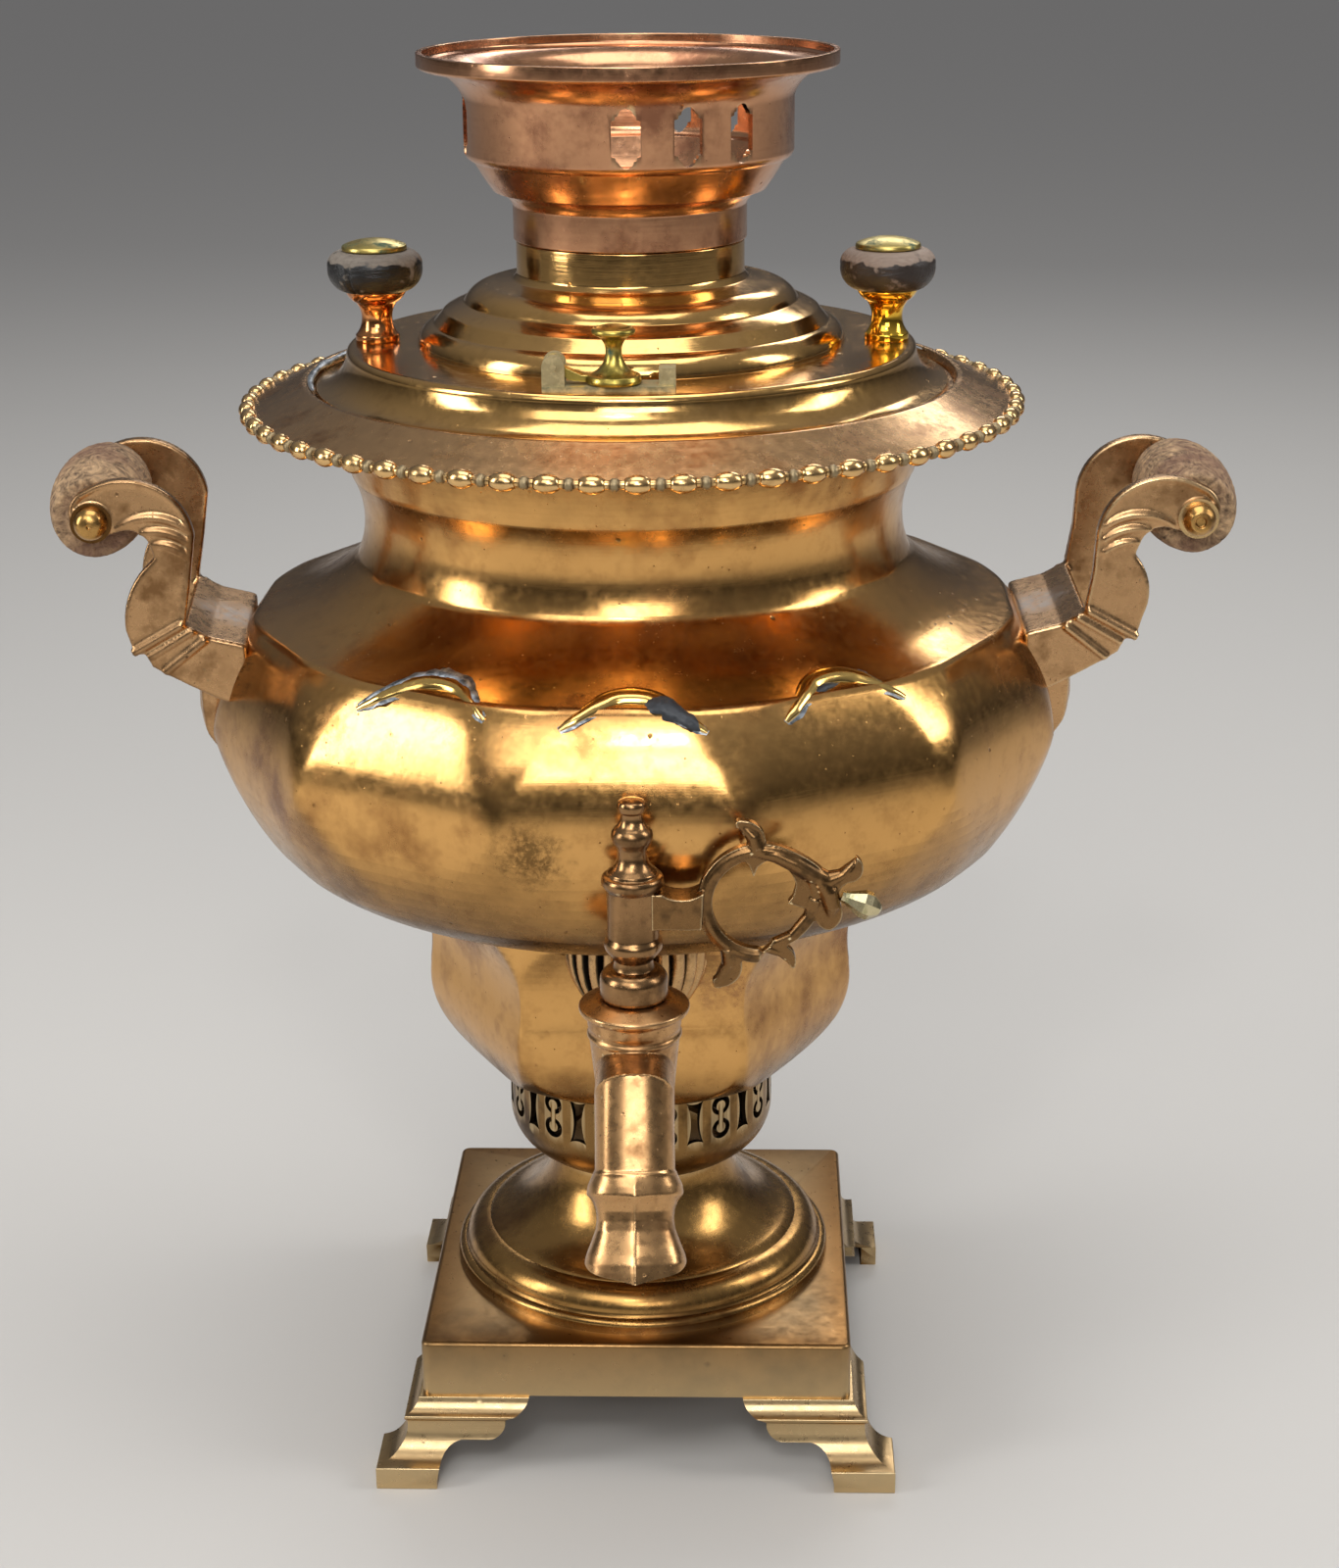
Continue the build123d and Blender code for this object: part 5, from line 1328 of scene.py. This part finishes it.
# Bronze: redder than the brass. Pitted where it was left cast, smooth where it was turned,
# and dark where the key was filed, its ridges lightened, partly rubbed pale and partly
# painted highlight.
tap_brass = brass("pitted_bronze", "#C69A69", "#906A45", 0.26, 16, 0.45,
                  pits=0.30, pit_size=3.5, wobble=0.1, edge=0.7, dirt_and_crevice_shade="#33241A")
plug_brass = brass("turned_bronze", "#9C7750", "#694E33", 0.22, 16, 0.45,
                   pits=0.25, pit_size=3.5, edge=0.6, dirt_and_crevice_shade="#33241A")
key_brass = brass("filed_bronze", "#83623E", "#54402A", 0.25, 12, 0.5,
                  pits=0.12, pit_size=3, edge=1.0, dirt_and_crevice_shade="#2B1F17")
# Cast brass: gold on the gadroons, with painted shade, near black, in the grooves between them.
seat_brass = brass("groove_shaded_cast_brass", "#C49A68", "#7A5C3C", 0.26, 8, 0.4,
                   pits=0.25, pit_size=3, edge=0.6, dirt_and_crevice_shade="#17130F", ribs=(*seat_middle, petals))
# Nickel silver: pale and greenish, bright on its flat facets.
bud_metal = brass("nickel_silver", "#B9B593", "#7F8A5E", 0.22, 4, 0.5, edge=0.4, dirt_and_crevice_shade="#3D4431")
spigot_level, tap_out = 199.0, 158.0
tap_place = turned_by(tap_yaw) @ Matrix.Translation((0, -tap_out, 0))
housing_top, housing_low = spigot_level + 25.0, spigot_level - 21.0
seat_low, seat_high = spigot_level - 18, spigot_level + 18
spigot_radius = 9.5


def slab(name, low, high, place=Matrix.Identity(4)):
    """A plain box between two corners, used as a cutting tool."""
    (x0, y0, z0), (x1, y1, z1) = low, high
    return prism(name, [(x0, z0), (x1, z0), (x1, z1), (x0, z1)], y0, y1, place)


cup_line = drawn(
    (0.2, seat_high + 0.4), (21.0, seat_high + 0.4), (23.6, seat_high - 0.6), (24.0, seat_high - 3),
    ((21.8, seat_low + 9), (13.5, seat_low - 1)), (0.2, seat_low - 3), turn=3)
cup_rings = []
for radius, level in cup_line:
    ring = []
    for i in range(petals * petal_steps):
        t = math.tau * i / (petals * petal_steps)
        groove = 1 - abs(math.sin(petals * t / 2)) ** 0.6
        depth = 2.8 * groove * min(radius / 12.0, 1.0) * (1.0 if level < seat_high else 0.4)
        ring.append(((radius - depth) * math.cos(t), (radius - depth) * math.sin(t) - seat_off,
                     level + 0.35 * depth))
    cup_rings.append(ring)
rosette = skinned("tap_rosette_gadroons", cup_rings, 50, capped=True)
cut(rosette, slab("half", (-40, -seat_off, 150), (40, 0, 250)))
way = spigot_radius + 0.05
cut(rosette, spun("way", [(0, 30), (way, 30), (way, 170), (0, 170)], 64,
                  Matrix.Translation((0, 0, spigot_level)) @ lying))
rosette.data.transform(turned_by(tap_yaw))
bowl_core = (140, 215)      # the levels where the tap's castings meet the bowl
cut(rosette, vase_core(*bowl_core))
shaded(rosette, 40)
fit(rosette, "samovar", "cast_brass", seat_brass, "tap_rosette")

housing_line = outline(
    (0, housing_low), (11.5, housing_low), ((12.6, housing_low + 16), (14.3, housing_top - 13)),
    (15.0, housing_top - 12.4), (15.0, housing_top - 11.4), (14.4, housing_top - 10.8),
    (14.4, housing_top - 9.6), (14.8, housing_top - 9.0), (14.7, housing_top - 5.4),
    (16.2, housing_top - 4.6), ((17.4, housing_top - 3.6), (17.3, housing_top - 2.2)),
    (12.4, housing_top), (0, housing_top), ease=0.3)
housing = spun("housing", housing_line, 128, tap_place)

spout_r = 12.4
lean = math.radians(25.0)
knee = Vector((0, -20.9, spigot_level))
down = Vector((0, -math.sin(lean), -math.cos(lean)))
front = Vector((0, -math.cos(lean), math.sin(lean)))
sideways = Vector((1, 0, 0))


def spout_ring(centre, across, ahead_way, wide_r, deep_r, square, keel):
    """One section: squarer as square grows from 0, and with a ridge in front as keel does."""
    ring = []
    power = 2.0 / (2.0 + square)
    for i in range(96):
        t = math.tau * i / 96
        c, s = math.cos(t), math.sin(t)
        x = wide_r * math.copysign(abs(c) ** power, c)
        y = deep_r * math.copysign(abs(s) ** power, s)
        if s > 0:
            y *= 1 - 0.16 * keel * math.sin(math.pi * min(abs(x) / wide_r, 1.0)) ** 0.8
        ring.append(tap_place @ (centre + across * x + ahead_way * y))
    return ring


upright = Vector((0, 0, 1))
rings = [spout_ring(Vector((0, y, spigot_level)), sideways, upright, spout_r, spout_r, 0.5, 0)
         for y in (-4.0, -9.0, -12.0)]
mitre = (upright + front).normalized()
stretch = 1 / math.cos(0.5 * math.radians(65.0))
for slide, way, blunt in (
    (0.9, Vector((0, -1, 0)), 0.985), (0.0, down, 0.97), (0.9, down, 0.985),
):
    rings.append(spout_ring(knee + way * slide, sideways, mitre, spout_r,
                            spout_r * stretch * blunt, 0.5, 0))
for along, wide_r, deep_r, square, keel in (
    (10.0, 12.3, 12.0, 0.7, 0.0), (22.0, 12.4, 11.9, 0.7, 0.0), (22.4, 12.8, 12.3, 0.6, 0.0),
    (22.9, 13.0, 12.5, 0.5, 0.0), (23.4, 13.2, 12.6, 0.4, 0.1), (26.5, 14.6, 13.6, 0.2, 0.3),
    (28.6, 14.95, 14.0, 0.2, 0.4), (29.4, 14.9, 14.1, 0.2, 0.5), (30.0, 14.4, 13.8, 0.2, 0.6),
    (31.4, 13.2, 12.9, 0.3, 0.8), (34.0, 12.2, 12.0, 0.4, 1.0), (37.0, 11.9, 11.6, 0.4, 1.0),
    (40.0, 12.3, 11.9, 0.4, 1.0), (44.0, 13.8, 13.3, 0.3, 1.0), (47.5, 15.2, 14.8, 0.2, 1.0),
    (50.0, 15.8, 15.6, 0.2, 1.0), (52.5, 15.85, 15.8, 0.2, 1.0), (62.0, 15.8, 15.8, 0.2, 1.0),
):
    rings.append(spout_ring(knee + down * along, sideways, front, wide_r, deep_r, square, keel))
spout = skinned("spout", rings, 60, capped=True)
spigot_line = [(0, -4), (spigot_radius, -4), (spigot_radius, 92), (0, 92)]
spigot = spun("spigot", spigot_line, 64, tap_place @ Matrix.Translation((0, 0, spigot_level))
              @ Matrix.Rotation(-math.pi / 2, 4, "X"))
tap = cast(joined("tap_body_casting", housing, spout, spigot), 0.34, 2)
cut(tap, slab("below", (-40, -80, spigot_level - 70), (40, 20, spigot_level - 44), tap_place))
mouth_line = [(0, 4), (8, 8), (8, 30), (12.2, 52), (12.2, 66), (0, 66)]
cut(tap, spun("mouth", mouth_line, 64, tap_place @ Matrix((
    (1, 0, 0, 0), (0, front.y, down.y, knee.y + down.y * 9.0),
    (0, front.z, down.z, knee.z + down.z * 9.0), (0, 0, 0, 1)))))
bore_low, bore_high = 7.08, 9.08        # the taper that the plug turns in, with its clearance
cut(tap, spun("plug_bore", [
    (0, housing_low - 1), (bore_low, housing_low - 1), (bore_high, housing_top),
    (bore_high, housing_top + 2), (0, housing_top + 2)], 64, tap_place))
cut(tap, vase_core(*bowl_core))
shaded(tap, 50)
fit(tap, "samovar", "cast_brass", tap_brass, "tap_body")

plug_low, base, barrel = housing_low - 2, housing_top + 8, 8.1
plug_line = outline(
    (0, plug_low), (7.0, plug_low), (9.0, housing_top), (9.0, housing_top + 0.3),
    (10.2, housing_top + 0.3), (10.7, housing_top + 1.2), (10.7, housing_top + 6.0),
    ((9.8, housing_top + 8.6), (6.6, base + 2.2)), (6.2, base + 3.4), (6.0, base + 5.0),
    ((7.4, base + 6.6), (8.3, base + 7.8)), (8.7, base + 8.4),
    ((9.2, base + 10.3), (8.7, base + 12.0)), (8.3, base + 12.6), (barrel, base + 13.2),
    (barrel, base + 28.4), (8.7, base + 28.9), (9.2, base + 29.6),
    ((9.8, base + 31.4), (9.2, base + 33.0)), (8.0, base + 33.4), (7.8, base + 34.4),
    (6.6, base + 35.4), ((4.7, base + 39.0), (4.9, base + 42.4)), (6.0, base + 44.0),
    ((6.5, base + 46.4), (5.4, base + 48.6)), ((3.6, base + 51.4), (3.5, base + 53.4)),
    (4.2, base + 54.2), ((4.5, base + 55.6), (4.0, base + 57.2)),
    ((2.0, base + 57.9), (0, base + 58.0)), ease=0.3)
plug = spun("tap_plug_turned", plug_line, 112, tap_place, 40)
fit(plug, "tap_key", "cast_brass", plug_brass, "tap_plug")

half_key = 1.9
key_place = tap_place @ Matrix.Translation((0, 0, housing_top))
ring_x, ring_z = 39.6, 31.5


def ring_spot(radius, degrees):
    """A point of the key's ring."""
    turn = math.radians(degrees)
    return (ring_x + radius * math.cos(turn), ring_z + radius * math.sin(turn))


ring_in, ring_middle, ring_out, ring_from, ring_to = 15.1, 17.4, 19.8, 4.0, 268.0
gap = ring_to - ring_from
loop = ([ring_spot(ring_out, ring_from + gap * i / 72) for i in range(73)]
        + [ring_spot(ring_in, ring_to - gap * i / 72) for i in range(73)])
parts = [prism("ring", loop, -half_key, half_key, key_place)]
for flat in (
    drawn((42.0, 51.2), ((52.0, 47.5), (58.9, 42.2)), ((64.1, 40.3), (68.8, 46.7)),
          ((71.0, 41.8), (66.6, 38.2)), ((63.5, 34.4), (64.5, 30.1)), ((64.3, 25.6), (61.0, 22.5)),
          ((58.9, 23.1), (56.4, 26.3)), ((51.4, 19.9), (43.0, 16.2)), (43.6, 19.4),
          ((49.1, 21.5), (53.2, 26.4)), (53.9, 29.5), (47.9, 31.7), (49.5, 33.8), (50.4, 37.5),
          ((47.9, 42.8), (39.6, 46.3))),
    drawn((43.4, 18.6), ((48.9, 16.4), (50.2, 9.8)), (48.9, 10.0), ((46.3, 13.9), (39.1, 14.3))),
    drawn((40.9, 50.4), ((39.9, 55.7), (33.8, 58.9)), ((31.9, 58.3), (32.5, 56.3)),
          ((35.8, 54.2), (34.6, 49.9))),
    [(32.6, 47.4), (36.0, 44.2), (37.3, 40.2), (38.6, 43.8), (42.8, 47.0)],
    drawn((25.8, 17.4), ((29.1, 11.7), (25.2, 6.5)), ((25.0, 3.9), (27.6, 3.7)),
          ((33.2, 7.6), (32.7, 14.1))),
):
    parts.append(prism("scroll", flat, -half_key + 0.1, half_key - 0.1, key_place))
for run, thick in (
    ([ring_spot(ring_middle, degrees) for degrees in range(6, 272, 6)], [2.3] * 45),
    ([(37.8, 48.6), (44.0, 47.4), (50.0, 44.6), (56.0, 40.6), (60.5, 38.8), (64.8, 40.6),
      (69.0, 45.4)], [2.2, 2.6, 3.0, 3.2, 2.8, 2.0, 0.8]),
    ([(57.5, 40.0), (60.4, 35.0), (61.6, 30.0), (61.2, 24.4)], [3.0, 3.4, 3.0, 0.9]),
    ([(43.4, 17.8), (49.5, 20.6), (54.6, 26.8), (56.4, 33.0)], [1.6, 1.8, 2.0, 2.6]),
    ([(42.0, 16.4), (46.0, 14.8), (48.4, 12.4), (49.4, 10.0)], [1.8, 1.6, 1.2, 0.5]),
    ([(38.4, 49.6), (37.2, 53.6), (33.4, 57.4)], [2.6, 2.5, 1.4]),
    ([(29.4, 16.4), (29.6, 11.0), (26.2, 5.2)], [2.6, 2.3, 1.5]),
):
    path = [key_place @ Vector((x, 0, z)) for x, z in run]
    parts.append(tube_run("bar", path, thick, 16, 1.2))
root = drawn((0, 24.4), (21.2, 24.4), (21.8, 36.6), ((14.6, 34.4), (9.0, 36.2)), (0, 36.2))
parts.append(prism("root", root, -5.5, 5.5, key_place))
key = cast(joined("tap_key_casting", *parts), 0.34, 3)
cut(key, spun("seat", [(0, 0), (barrel, 0), (barrel, 60), (0, 60)], 96, key_place))
shaded(key, 70)
fit(key, "tap_key", "cast_brass", key_brass, "tap_lever")

# The bud on the key's end is another metal, paler and greener, left with its filed facets.

bud_axis = Vector((0.93, 0, -0.37)).normalized()
bud_side = Vector((0, 1, 0))
bud_up = bud_axis.cross(bud_side)
bud_root = Vector((65.5, 0, 33.0))
bud_turns = [math.tau * (i + 0.5) / 8 for i in range(8)]
rings = [[key_place @ (bud_root + bud_axis * along + bud_side * radius * math.cos(t)
                       + bud_up * radius * math.sin(t)) for t in bud_turns]
         for along, radius in ((-1.0, 1.8), (0.0, 1.9), (1.2, 2.2), (6.0, 4.45), (8.4, 4.5),
                               (11.6, 2.1), (12.3, 0.4))]
bud = skinned("key_bud", rings, 5, capped=True)
fit(bud, "tap_key", "cast_brass", bud_metal, "lever_bud")
